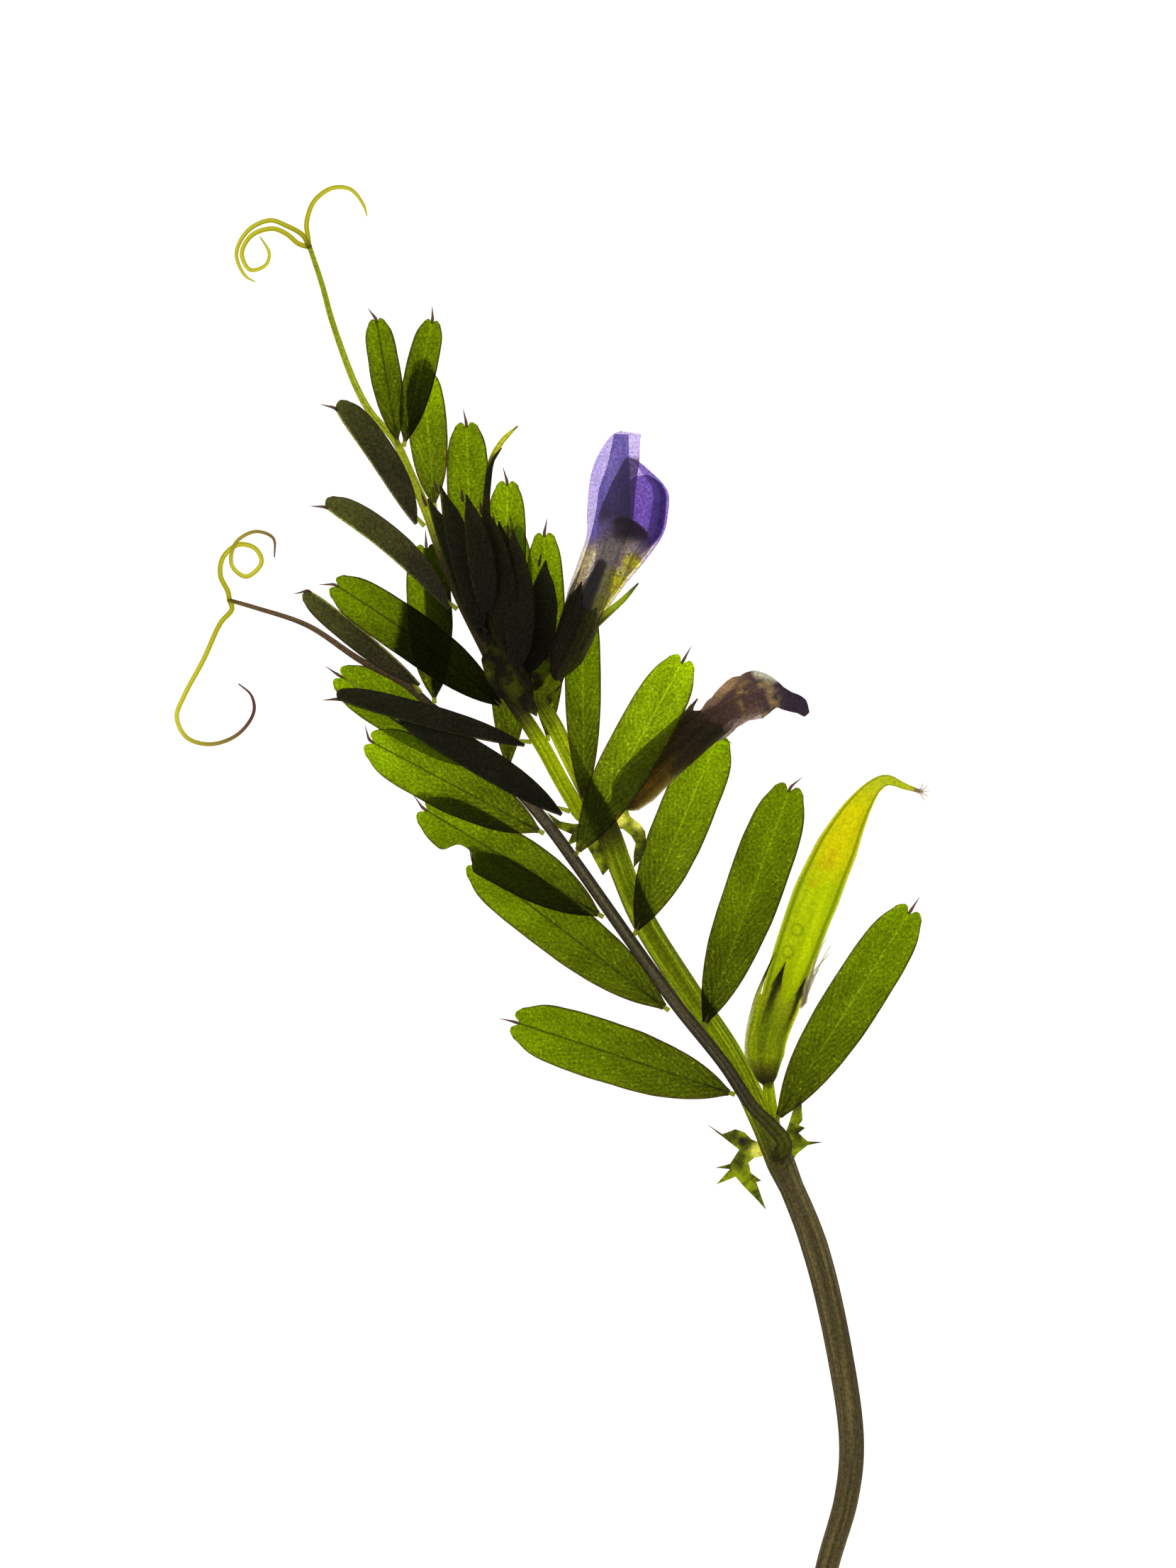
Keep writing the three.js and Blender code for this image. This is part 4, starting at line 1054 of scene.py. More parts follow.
def stipule_skin(name, scale, low, high, dark, light):
    """A stipule's flesh before its spots, light in patches, with the tree that it is made in."""
    material, tree = new_finish(name)
    ground = ground_place(tree)
    patches = placed(tree, patch_group, Place=ground, Scale=scale, Low=low, High=high)["Patches"]
    return material, tree, ground, tint(tree, dark, light, patches)


stipule_flesh, tree, ground, colour = stipule_skin(
    "stipule_flesh", scale=1100.0, low=0.38, high=0.62, dark=dye(44, 48, 14), light=dye(132, 144, 14))
for x, y in PALE_NECKS:
    colour = tint(tree, colour, dye(220, 214, 90), nearness(tree, ground, x, y, 0.8))
colour = tint(tree, colour, dye(34, 26, 24), nearness(tree, ground, *NECTAR_SPOT, 0.5))
colour = grained(tree, colour, size=0.2, depth=0.25)
thin_skin(stipule_flesh, colour, clear=0.4, roughness=0.5)
for name, outline in STIPULE_OUTLINES.items():
    piece = outline_sheet(name + "_flap", outline, STIPULE_HEIGHT, STIPULE_THICKNESS, swell=0.12)
    finish(piece, stipule_flesh, name)

# The top node's own pair still clasps the young leaf, dark and barely opened.
TOP_OUTLINES = {
    "stipule_top_left": (4.3, [
        (-0.9, 16.2), (-2.2, 16.9), (-3.9, 17.7), (-4.9, 19.3), (-5.2, 20.6), (-4.7, 22.0), (-4.2, 23.3),
        (-3.4, 22.2), (-2.9, 23.0), (-2.4, 21.4), (-1.8, 20.0), (-1.1, 18.6), (-0.7, 17.4),
    ]),
    "stipule_top_right": (3.9, [
        (-0.1, 16.6), (-0.7, 16.6), (-1.0, 18.4), (-1.6, 20.4), (-1.2, 21.8), (-0.9, 23.2), (-0.3, 22.0),
        (0.4, 23.0), (1.0, 21.9), (1.6, 21.2), (1.5, 20.0), (1.1, 18.9), (0.4, 17.7),
    ]),
}
young_stipule, tree, ground, colour = stipule_skin(
    "young_stipule_flesh", scale=900.0, low=0.42, high=0.64, dark=dye(38, 32, 20),
    light=dye(104, 116, 14))
thin_skin(young_stipule, grained(tree, colour, size=0.2, depth=0.25), clear=0.4, roughness=0.5)
for name, (height, outline) in TOP_OUTLINES.items():
    piece = outline_sheet(name, outline, height, TOP_THICKNESS, swell=0.1)
    piece.data.materials.append(young_stipule)
    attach(piece, "root")

# ------------------------------------------------------------------------- the flower's calyx
# A thin, veined, olive green cup from which the petals come, its rim drawn out into five narrow
# teeth. It is one sheet wrapped round the flower's base and closed along its seam.
TEETH = 5
BOWL_SHARE = 0.62
SEAM_REACH = 0.004 * MM


def add_cup(name, spine, halves, mouth, flatness, wall, tooth_lengths, sharpness, leans,
            tooth_turn=0, skew=0.0):
    """A cup round a spine. mouth is where its teeth begin, skew makes its rim slant, tooth_turn
    turns its teeth round it, and leans say how far each spreads for each millimetre of its length."""
    bpy.ops.object.select_all(action="DESELECT")
    bpy.ops.mesh.primitive_grid_add(x_subdivisions=TEETH * 16, y_subdivisions=50, size=2)
    cup = bpy.context.object
    cup.name = name
    rind = cup.data.attributes.new("rind", "FLOAT_VECTOR", "POINT")
    for i, point in enumerate(cup.data.vertices):
        turn = (point.co.x + 1) / 2 * TEETH
        angle = -turn / TEETH * 2 * math.pi + math.radians(tooth_turn)
        share = (point.co.y + 1) / 2
        which = int(min(TEETH - 1, turn))
        beside = abs(turn - which - 0.5) * 2
        rim = mouth - skew * math.cos(angle)
        if share < BOWL_SHARE:
            distance = rim * share / BOWL_SHARE
        else:
            tooth = max(0.012, (1 - beside) ** sharpness[which]) * tooth_lengths[which]
            distance = rim + (share - BOWL_SHARE) / (1 - BOWL_SHARE) * tooth
        past = max(0.0, distance - rim)
        half = value_at(halves, min(distance, rim)) * smooth(-0.5, 0.9, distance) + past * leans[which]
        half *= 1 + 0.03 * math.cos(10 * angle)
        place, along, right, up = spine.frame(min(1, distance / spine.length))
        place += along * max(0, distance - spine.length)
        rind.data[i].vector = (math.cos(angle), math.sin(angle), distance)
        aside, above = right * math.cos(angle) * half, up * math.sin(angle) * half * flatness
        point.co = in_place(place + aside + above)
    bpy.ops.object.mode_set(mode="EDIT")
    bpy.ops.mesh.select_all(action="SELECT")
    bpy.ops.mesh.remove_doubles(threshold=SEAM_REACH)
    bpy.ops.mesh.normals_make_consistent(inside=False)
    bpy.ops.object.mode_set(mode="OBJECT")
    give_thickness(cup, wall, offset=-1.0)
    bpy.ops.object.shade_smooth_by_angle(angle=math.radians(60))
    return cup


calyx_spine = Spine([(0.4, 18.9, 4.8), (1.1, 20.3, 5.2), (2.0, 22.4, 5.35), (3.1, 25.5, 5.1)])
calyx = add_cup(
    "flower_calyx_toothed", calyx_spine, [(0, 0.35), (1.0, 0.75), (2.2, 1.3), (4.0, 1.45), (6.2, 1.5)],
    mouth=6.0, flatness=1.05, wall=0.12, tooth_lengths=(4.3, 1.4, 2.2, 1.5, 0.9),
    sharpness=(1.05, 2.4, 2.4, 2.4, 2.4), leans=(0.5, 0.1, 0.0, 0.05, 0.1), tooth_turn=18, skew=0.8)
foot_line = Spine([(-0.9, 17.9, 4.1), (-0.2, 18.3, 4.5), (0.5, 19.1, 4.9)])
foot = add_rod("flower_foot", foot_line, [(0, 0.42), (0.8, 0.4), (1.8, 0.6)], sides=16, rings=12)
calyx_flesh, tree = new_finish("calyx_flesh")
found = rind_marks(tree, 2.8)
colour = tint(tree, dye(60, 58, 22), dye(104, 104, 26), found["Streaks"])
colour = touch(tree, colour, dye(128, 140, 18), found["Blotches"], 0.45)
aside = found["Aside"]
colour = tint(tree, dye(48, 42, 20), colour, spread(tree, aside, -0.2, 0.6))
colour = touch(tree, colour, dye(40, 38, 16), found["Lines"], 0.6)
tooth_tone = tint(tree, dye(96, 110, 8), dye(150, 168, 16), found["Streaks"])
leafy = product(tree, spread(tree, found["Along"], 5.8, 7.0), spread(tree, aside, 0.2, 0.7))
colour = tint(tree, colour, tooth_tone, leafy)
colour = tint(tree, colour, dye(60, 56, 30), spread(tree, found["Along"], 8.2, 9.4))
colour = grained(tree, colour, size=0.2, depth=0.3)
thin_skin(calyx_flesh, colour, clear=0.45, roughness=0.5)
finish_joined([calyx, foot], [calyx_flesh, green_stalk], "flower_calyx")

# ------------------------------------------------------------------------- the flower's petals
# The standard is the big outer petal. It is folded lengthwise round the others, one lobe above
# and a narrower one below, lavender with fine darker veins and a pale yellowish claw.
# Two wings of deeper violet lie inside it, and the blunt dark keel lies between them.


def between(left, right, dome, sag=None):
    """A rule that places a sheet between a left and a right edge, domed upward by (share, height)
    pairs. sag is how far it ripples."""
    left_spine, right_spine = Spine(left, steps=10), Spine(right, steps=10)

    def place_at(across, share):
        start, end = left_spine.at(share), right_spine.at(share)
        point = start.lerp(end, (across + 1) / 2)
        height = value_at(dome, share) * (1 - across**2)
        ripple = sag * noise.noise(Vector((across * 2.2, share * 5, dome[0][1]))) if sag else 0
        return point + UP * (height + ripple)

    return place_at


# Outlines of parts that lie under the petals, whose shadows are painted into the petals above them, and
# how deep each painted shadow is.
HIDDEN_WING_EDGE = [(31.0, 3.8), (31.6, 3.85), (32.5, 4.1), (34.3, 4.9), (36.3, 5.98)]
KEEL_ARCH = [(4.9, 31.3), (5.5, 31.55), (6.1, 31.5), (6.9, 31.1), (7.7, 30.3), (7.9, 29.4)]
STAMENS_FROM, STAMENS_TO = Vector((2.2, 23.4)), Vector((4.05, 27.9))
KEEL_SHADOW, WING_SHADOW, STAMENS_SHADOW = 0.62, 0.5, 0.7


def shadow_tone(place_at, over_wing):
    """A rule for a petal's tone, with the shadows of the parts under it painted in. It is darker over
    the keel's blunt end, and where it lies over a wing also over that wing's edge and the tube of
    stamens."""

    def tone_at(across, share):
        point = place_at(across, share)
        end = smooth(4.6, 5.4, point.x) * (1 - smooth(7.4, 7.9, point.x)) * smooth(29.5, 30.3, point.y)
        arch = value_at(KEEL_ARCH, point.x)
        tone = 1 - KEEL_SHADOW * end * (1 - smooth(arch - 0.05, arch + 0.1, point.y))
        if over_wing:
            edge = value_at(HIDDEN_WING_EDGE, point.y)
            inside = smooth(edge - 0.05, edge + 0.1, point.x) * (1 - smooth(36.0, 36.4, point.y))
            tone *= 1 - WING_SHADOW * inside * smooth(30.8, 31.8, point.y)
            along = STAMENS_TO - STAMENS_FROM
            flat = point.xy - STAMENS_FROM
            reached = min(1.0, max(0.0, flat.dot(along) / along.length_squared))
            reach = 0.62 - 0.26 * reached
            off_tube = (flat - along * reached).length
            tone *= 1 - STAMENS_SHADOW * (1 - smooth(reach - 0.08, reach + 0.16, off_tube))
        return tone

    return tone_at


STANDARD_THICKNESS, STANDARD_SIZE, STANDARD_RIPPLE = 0.1, (2.0, 14.0), 0.12
upper_rule = between(
    [(1.1, 23.2, 5.3), (1.45, 25.6, 5.15), (2.3, 28.1, 4.8), (3.0, 30.3, 4.4), (3.0, 31.7, 4.2),
     (3.14, 33.9, 3.8), (3.4, 35.3, 3.4), (3.8, 36.35, 3.1), (4.4, 37.35, 2.9), (5.0, 38.05, 2.7),
     (5.6, 38.3, 2.6)],
    [(3.3, 23.0, 5.3), (4.3, 25.2, 5.2), (5.4, 28.3, 5.1), (6.2, 30.4, 4.9), (6.5, 31.6, 4.7),
     (6.66, 33.4, 4.3), (6.8, 34.7, 4.0), (7.0, 36.0, 3.7), (7.05, 37.3, 3.4), (7.15, 38.05, 3.2)],
    [(0, 1.2), (0.3, 1.1), (0.6, 0.9), (1, 0.15)], STANDARD_RIPPLE)
lower_rule = between(
    [(1.2, 23.2, 4.9), (1.7, 25.6, 4.7), (2.6, 28.1, 4.2), (3.3, 30.3, 3.7), (3.7, 32.1, 3.4),
     (3.9, 33.7, 3.1), (4.5, 35.4, 2.8), (4.85, 36.85, 2.6), (5.1, 38.1, 2.45)],
    [(3.4, 22.8, 4.9), (4.5, 25.0, 4.6), (5.4, 28.3, 4.0), (6.2, 30.4, 3.5), (6.3, 31.6, 3.3),
     (6.25, 34.7, 2.7), (6.2, 36.6, 2.5), (6.2, 38.1, 2.4)],
    [(0, -1.2), (0.3, -0.9), (0.6, -0.5), (1, -0.1)], STANDARD_RIPPLE)
upper_lobe = add_sheet(
    "flower_standard_lobes", 60, 150, upper_rule, STANDARD_THICKNESS, lambda share: STANDARD_SIZE,
    shadow_tone(upper_rule, over_wing=True), sample=1)
lower_lobe = add_sheet(
    "flower_standard_lower", 30, 70, lower_rule, STANDARD_THICKNESS, lambda share: STANDARD_SIZE,
    sample=2)


def rolled(place_at, edge, back):
    """The same sheet with its right margin rolled under by a share of its width."""

    def place(across, share):
        if across <= edge:
            return place_at(across / edge if across > 0 else across, share)
        over = (across - edge) / (1 - edge)
        under = UP * 0.3 * min(1, over * 4)
        return place_at(1 - over * back * smooth(0.25, 0.5, share), share) - under

    return place


WING_THICKNESS, WING_SIZE, WING_RIPPLE = 0.09, (1.8, 13.0), 0.08
KEEL_THICKNESS, KEEL_SIZE = 0.3, (1.3, 9.0)
wing_upper_rule = between(
    [(2.4, 22.6, 5.7), (3.6, 26.6, 5.3), (4.3, 29.5, 4.7), (4.9, 31.4, 4.3), (5.6, 33.2, 4.0),
     (6.2, 34.3, 3.7), (6.8, 34.8, 3.6)],
    [(3.2, 22.5, 5.6), (4.2, 24.4, 5.4), (5.8, 26.6, 5.2), (7.4, 28.7, 4.9), (8.7, 30.4, 4.5),
     (9.0, 32.0, 4.1), (9.05, 33.4, 3.8), (8.6, 34.3, 3.6), (7.6, 34.9, 3.5)],
    [(0, 0.1), (0.3, 0.25), (0.6, 0.45), (1, 0.1)], WING_RIPPLE)
wing_upper_rule = rolled(wing_upper_rule, edge=0.7, back=0.55)
wing_lower_rule = between(
    [(2.4, 22.6, 4.9), (3.4, 26.6, 4.4), (3.7, 29.5, 3.8), (3.85, 31.6, 3.4), (4.1, 32.5, 3.2),
     (4.9, 34.3, 2.9), (5.9, 36.3, 2.7)],
    [(3.4, 22.5, 4.9), (4.5, 24.4, 4.7), (6.0, 26.5, 4.4), (7.6, 28.4, 4.0), (8.9, 30.4, 3.6),
     (9.25, 32.0, 3.3), (9.3, 33.4, 3.1), (8.9, 34.2, 2.9), (8.0, 35.1, 2.8), (7.0, 35.95, 2.7),
     (6.2, 36.3, 2.7)],
    [(0, 0.1), (0.3, -0.1), (0.6, -0.25), (1, -0.1)], WING_RIPPLE)
keel_rule = between(
    [(2.3, 22.8, 5.3), (3.2, 26.2, 4.95), (3.7, 28.5, 4.5), (4.2, 30.2, 4.2), (4.9, 31.3, 4.0),
     (5.5, 31.55, 3.95)],
    [(2.9, 22.7, 5.3), (5.0, 25.8, 5.0), (6.9, 28.0, 4.6), (7.9, 29.4, 4.3), (7.7, 30.3, 4.1),
     (6.9, 31.1, 4.0), (6.1, 31.5, 3.95)],
    [(0, 0.05), (0.5, 0.2), (1, 0.05)])
wing_upper = add_sheet(
    "flower_wing_upper_petal", 60, 110, wing_upper_rule, WING_THICKNESS, lambda share: WING_SIZE,
    shadow_tone(wing_upper_rule, over_wing=False), sample=3)
wing_lower = add_sheet(
    "flower_wing_lower_petal", 36, 60, wing_lower_rule, WING_THICKNESS, lambda share: WING_SIZE,
    sample=4)
keel = add_sheet(
    "flower_keel_petal", 30, 50, keel_rule, KEEL_THICKNESS, lambda share: KEEL_SIZE, sample=5)
tube_line = Spine([
    (1.3, 22.2, 5.2), (1.8, 24.0, 5.15), (2.4, 25.1, 5.05), (3.6, 26.9, 4.85), (4.3, 28.5, 4.5)])
TUBE_HALVES = [(0, 0.5), (5.2, 0.5), (6.3, 0.38), (7, 0.15)]
tube = add_rod("flower_stamen_tube", tube_line, TUBE_HALVES, sides=16, rings=40)

CLAW = dye(246, 242, 228)
CLAW_VEIN = dye(176, 156, 132)
OLIVE_CLAW = dye(222, 214, 150)
MARGIN_SHADE_VIOLET = dye(112, 84, 158)
# The colour of the shadows painted into the petals.
PETAL_SHADOW = dye(46, 32, 38)
YELLOW = dye(244, 232, 70)
YELLOW_PATCHES = [(6.5, 28.0, 1.0), (5.2, 26.5, 1.4), (4.2, 24.8, 1.3)]
CAP_SPOTS = [(5.7, 30.7, 1.3), (6.9, 30.3, 1.1)]


# A fine net of cell-like lines, which shows in the petals and the pod up to a depth.
net_group, asked = new_group("cell_net", ("Place",), ("Scale", "Depth"), ("Net",))
net = {"Vector": asked["Place"], "Scale": asked["Scale"]}
net = put(net_group, "ShaderNodeTexVoronoi", net, feature="DISTANCE_TO_EDGE").outputs["Distance"]
put_out(net_group, {"Net": spread(net_group, net, 0.12, 0.02, 0, asked["Depth"])})

# Fine veins fan out along a petal from its claw.
fan_group, asked = new_group("petal_veins", (), ("Across", "Share", "Tone"), ("Veins",))
fan = {0: product(fan_group, asked["Across"], 11.0), 1: product(fan_group, asked["Share"], 2.4)}
fan = put(fan_group, "ShaderNodeCombineXYZ", {**fan, 2: asked["Tone"]}).outputs[0]
fine_veins = {"Vector": fan, "Scale": 1.3, "Detail": 3.0, "Distortion": 0.6}
fine_veins = put(fan_group, "ShaderNodeTexNoise", fine_veins).outputs[0]
put_out(fan_group, {"Veins": spread(fan_group, fine_veins, 0.5, 0.62)})


def petal_finish(name, base, deep, claw_ends, slant, body=None, edge=None):
    """Petal skin: fine veins that fan out from the claw, over a colour that deepens in patches.
    claw_ends are the shares between which the claw's colour gives way to the petal's, on a line
    that slants. body is the keel's own colour, and edge is where across a petal turns a deeper violet,
    painted as the shade of its rolled margin's extra layers."""
    material, tree = new_finish(name)
    found = blade_marks(tree, 0.8, 5.0)
    ground = ground_place(tree)
    across, along, tone = found["Across"], found["Share"], found["Tone"]
    lines = placed(tree, fan_group, Across=across, Share=along, Tone=tone)["Veins"]
    colour = tint(tree, base, deep, found["Clouds"])
    colour = touch(tree, colour, deep, lines, 0.8)
    # A deeper violet painted toward the margin, as the shade of the rolled margin's extra layers.
    if edge:
        colour = tint(tree, colour, MARGIN_SHADE_VIOLET, spread(tree, across, edge, edge + 0.05, 0, 0.9))
    claw = tint(tree, CLAW, OLIVE_CLAW, spread(tree, across, -0.1, -0.7))
    claw = touch(tree, claw, CLAW_VEIN, lines, 0.8)
    slanted = sums(tree, "MULTIPLY_ADD", across, slant, along)
    slanted = sums(tree, "MULTIPLY_ADD", found["Clouds"], 0.05, slanted)
    colour = tint(tree, claw, colour, spread(tree, slanted, *claw_ends))
    if body:
        for x, y, reach in CAP_SPOTS:
            colour = touch(tree, colour, body, nearness(tree, ground, x, y, reach), 0.95)
    for x, y, reach in YELLOW_PATCHES:
        colour = touch(tree, colour, YELLOW, nearness(tree, ground, x, y, reach), 0.85)
    colour = touch(tree, colour, deep, found["Rim"], 0.7)
    net = placed(tree, net_group, Place=ground, Scale=1300.0, Depth=0.4)["Net"]
    colour = tint(tree, colour, deep, net)
    # Where the tone is low, the petal is painted toward the colour of the shadow of the parts under it.
    colour = tint(tree, PETAL_SHADOW, grained(tree, colour, size=0.18, depth=0.2), tone)
    thin_skin(material, colour, clear=0.9, roughness=0.55)
    return material


standard_skin = petal_finish(
    "standard_skin", dye(216, 204, 238), dye(176, 158, 212), claw_ends=(0.46, 0.52), slant=-0.05)
inner_skin = petal_finish(
    "standard_inner_skin", dye(116, 102, 182), dye(78, 60, 144), claw_ends=(0.46, 0.52), slant=-0.05)
finish_joined([upper_lobe, lower_lobe], [standard_skin, inner_skin], "flower_standard")
wing_skin = petal_finish(
    "wing_skin", dye(190, 168, 220), dye(150, 122, 190), claw_ends=(0.6, 0.66), slant=0.1, edge=0.5)
finish(wing_upper, wing_skin, "flower_wing_upper")
finish(wing_lower, wing_skin, "flower_wing_lower")
keel_skin = petal_finish(
    "keel_skin", dye(206, 188, 168), dye(142, 118, 110), claw_ends=(0.5, 0.6), slant=0.0,
    body=dye(46, 34, 36))
tube_skin, tree = new_finish("stamen_tube_skin")
found = rind_marks(tree, 2.0)
colour = tint(tree, dye(30, 24, 14), dye(54, 44, 24), found["Streaks"])
thin_skin(tube_skin, grained(tree, colour, size=0.2, depth=0.25), clear=0.2, roughness=0.5)
finish_joined([keel, tube], [keel_skin, tube_skin], "flower_keel")

# -------------------------------------------------------------------------- the withered flower
# The flower of the middle node has faded. Its calyx is still whole, olive brown and veined, and
# its petals have shrunk into a crumpled, hooked, purple-black remnant, paler where it is thin.
withered_spine = Spine([(5.3, 9.2, 1.4), (7.6, 11.7, 1.8), (10.1, 14.0, 2.2), (13.2, 16.7, 2.2)])
withered_calyx = add_cup(
    "withered_calyx_toothed", withered_spine, [(0, 0.6), (1.0, 1.25), (2.4, 1.6), (8, 1.55)],
    mouth=9.7, flatness=0.62, wall=0.12, tooth_lengths=(2.2, 0.5, 1.1, 0.5, 0.5),
    sharpness=(2.4,) * TEETH, leans=(-0.05, 0, 0.3, 0, 0), tooth_turn=18, skew=-0.5)
foot_line = Spine([(4.2, 7.9, 1.2), (4.9, 8.8, 1.3), (5.5, 9.6, 1.45)])
foot = add_rod("withered_foot", foot_line, [(0, 0.5), (1.0, 0.5), (2.1, 0.75)], sides=16, rings=12)
withered_cup, tree = new_finish("withered_calyx_skin")
found = rind_marks(tree, 2.4)
aside = found["Aside"]
colour = tint(tree, dye(124, 104, 30), dye(190, 160, 44), found["Streaks"])
colour = touch(tree, colour, dye(70, 52, 26), found["Blotches"], 0.4)
filled = spread(tree, sums(tree, "MULTIPLY_ADD", aside, 1.9, found["Along"]), 6.2, 6.8)
colour = tint(tree, colour, tint(tree, dye(70, 58, 34), dye(110, 94, 48), found["Streaks"]), filled)
colour = touch(tree, colour, dye(78, 62, 34), spread(tree, aside, 0.35, -0.15), 0.92)
colour = touch(tree, colour, dye(58, 46, 24), found["Lines"], 0.5)
colour = tint(tree, dye(60, 50, 26), colour, spread(tree, found["Along"], 0.3, 1.6))
pale_edge = product(tree, spread(tree, aside, 0.78, 0.95), spread(tree, found["Along"], 6.5, 5))
colour = touch(tree, colour, dye(226, 212, 160), pale_edge, 0.85)
colour = grained(tree, colour, size=0.2, depth=0.25)
thin_skin(withered_cup, colour, clear=0.4, roughness=0.6, bump=found["Fibres"])
finish_joined([withered_calyx, foot], [withered_cup, green_stalk], "withered_calyx")


def crumple(angle, distance):
    """How far the shrunken petals stand out, in folds that run along them and rough patches."""
    folds = 0.16 * math.sin(3 * angle + distance * 0.9) + 0.1 * math.sin(7 * angle - distance * 1.7)
    rough = 0.22 * noise.noise(Vector((math.cos(angle) * 1.6, math.sin(angle) * 1.6, distance * 0.7)))
    return 1 + (folds + rough) * smooth(0, 3, distance)


remnant_spine = Spine([
    (10.7, 14.4, 2.15), (12.4, 15.6, 2.1), (13.6, 16.5, 1.9), (15.1, 17.5, 1.75), (16.3, 17.95, 1.6),
    (17.4, 17.9, 1.4), (18.4, 17.6, 1.15), (19.3, 17.2, 0.9), (20.05, 16.4, 0.7),
])
REMNANT_HALVES = [
    (0, 0.8), (1.0, 1.2), (2.1, 1.35), (3.6, 1.4), (5.4, 1.7), (6.7, 1.7), (7.6, 1.3), (8.4, 0.85),
    (9.3, 0.7), (10.2, 0.6), (11.1, 0.25),
]
PALE_FRINGE = [(16.3, 19.7, 0.7), (17.0, 19.5, 0.8), (17.5, 19.2, 0.5)]
remnant = add_rod(
    "withered_corolla_crumpled", remnant_spine, REMNANT_HALVES, sides=56, rings=130, flatness=0.5,
    swell=crumple)
faded, tree = new_finish("withered_petal_skin")
found = rind_marks(tree, 2.0)
ground = ground_place(tree)
colour = tint(tree, dye(56, 38, 32), dye(104, 76, 56), found["Streaks"])
colour = touch(tree, colour, dye(46, 34, 40), found["Lines"], 0.55)
colour = tint(tree, colour, dye(46, 36, 48), spread(tree, found["Along"], 6.2, 7.6))
ruffle = {"Vector": ground, "Scale": 900.0, "Detail": 2.0}
ruffle = put(tree, "ShaderNodeTexNoise", ruffle).outputs["Color"]
ruffle = scaled(tree, ruffle, (2 * MM, 2 * MM, 0))
shaken = put(tree, "ShaderNodeVectorMath", {0: ground, 1: ruffle}, operation="ADD").outputs[0]
loop = sums(tree, "PINGPONG", nearness(tree, shaken, 17.1, 18.4, 2.0), 0.5)
loop = product(tree, spread(tree, loop, 0.1, 0.45), spread(tree, found["Blotches"], 0.75, 0.35))
colour = touch(tree, colour, dye(206, 168, 84), loop, 0.85)
for x, y, reach in PALE_FRINGE:
    colour = tint(tree, colour, dye(226, 232, 190), nearness(tree, ground, x, y, reach))
aside = found["Aside"]
thin_part = product(tree, spread(tree, aside, 0.62, 0.9), spread(tree, found["Along"], 7.2, 6.2))
colour = touch(tree, colour, dye(222, 202, 190), thin_part, 0.85)
upper_part = product(tree, spread(tree, aside, -0.7, -0.93), spread(tree, found["Along"], 6.4, 5.2))
colour = touch(tree, colour, dye(210, 166, 108), upper_part, 0.7)
colour = touch(tree, colour, dye(56, 42, 48), found["Fibres"], 0.35)
colour = grained(tree, colour, size=0.2, depth=0.25)
thin_skin(faded, colour, clear=0.3, roughness=0.7, bump=found["Fibres"])
finish(remnant, faded, "withered_corolla")

# -------------------------------------------------------------------------------------- the pod
# A young pod, flat and translucent, with a stout seam down each edge, the dried style as its
# hooked beak and seeds that have only begun to swell. Its old calyx holds it like a sheath.
POD_LINE = [
    (16.9, -9.9, 1.55), (17.3, -7.4, 1.6), (18.1, -5.0, 1.5), (19.2, -1.9, 1.2), (20.4, 1.4, 1.0),
    (21.9, 5.0, 0.95), (23.9, 9.0, 0.8), (25.4, 10.9, 0.6), (26.3, 11.3, 0.5), (27.7, 10.8, 0.35),
    (29.1, 10.35, 0.25),
]
POD_HALVES = [
    (0, 0.6), (2.5, 1.1), (5, 1.45), (8, 1.65), (13, 1.8), (17, 1.6), (20, 1.1), (22.5, 0.6),
    (24.5, 0.3), (26.2, 0.16), (27, 0.12),
]
SEED_SPACING = 2.3
SEED_RINGS = [(19.25, -0.3), (18.55, -2.0)]
RUSTY_FLECKS = [(21.6, 4.85, 0.8), (20.6, 3.3, 0.5), (22.1, 5.6, 0.5)]


def pod_form(angle, distance):
    """How far a young pod stands out: a little at its two seams and over its swelling seeds."""
    side = abs(math.cos(angle))
    seam = 0.03 * smooth(0.86, 1.0, side)
    seed = 0.05 * max(0, math.cos(distance * 2 * math.pi / SEED_SPACING))
    seed *= smooth(6, 8, distance) * smooth(18, 15, distance)
    return 1 + seam + seed * (1 - side)


pod_spine = Spine(POD_LINE)
pod = add_rod("pod_flat", pod_spine, POD_HALVES, sides=48, rings=150, flatness=0.5, swell=pod_form)

# The beak's tip carries five short hairs. Their rinds are read from past the end of the style, so
# that the pod's one material can give them their own pale colour.
PAST_STYLE = 30
STYLE_TIP, STYLE_KNOB = Vector((28.4, 10.55, 0.35)), Vector((28.8, 10.4, 0.35))
style_hairs = []
for turn in (-62, -30, 4, 38, 70):
    heading = Vector((math.cos(math.radians(turn)), math.sin(math.radians(turn)), 0.15))
    hair_line = Spine([STYLE_TIP, STYLE_KNOB + heading * 0.25, STYLE_KNOB + heading * 0.75])
    hair = add_rod("style_hair", hair_line, [(0, 0.1), (1.2, 0.05)], sides=6, rings=8)
    for point in hair.data.attributes["rind"].data:
        point.vector.z += PAST_STYLE
    style_hairs.append(hair)
pod = joined([pod, *style_hairs])
pod_skin, tree = new_finish("pod_skin")
found = rind_marks(tree, 2.2)
ground = ground_place(tree)
aside = sums(tree, "ABSOLUTE", found["Aside"])
colour = tint(tree, dye(150, 166, 2), dye(184, 200, 3), found["Streaks"])
yellow = tint(tree, dye(190, 180, 2), dye(206, 198, 3), found["Streaks"])
colour = tint(tree, colour, yellow, spread(tree, found["Along"], 13.6, 16.2))
colour = tint(tree, colour, dye(172, 178, 24), spread(tree, found["Along"], 20.5, 23))
net = placed(tree, net_group, Place=ground, Scale=1500.0, Depth=0.35)["Net"]
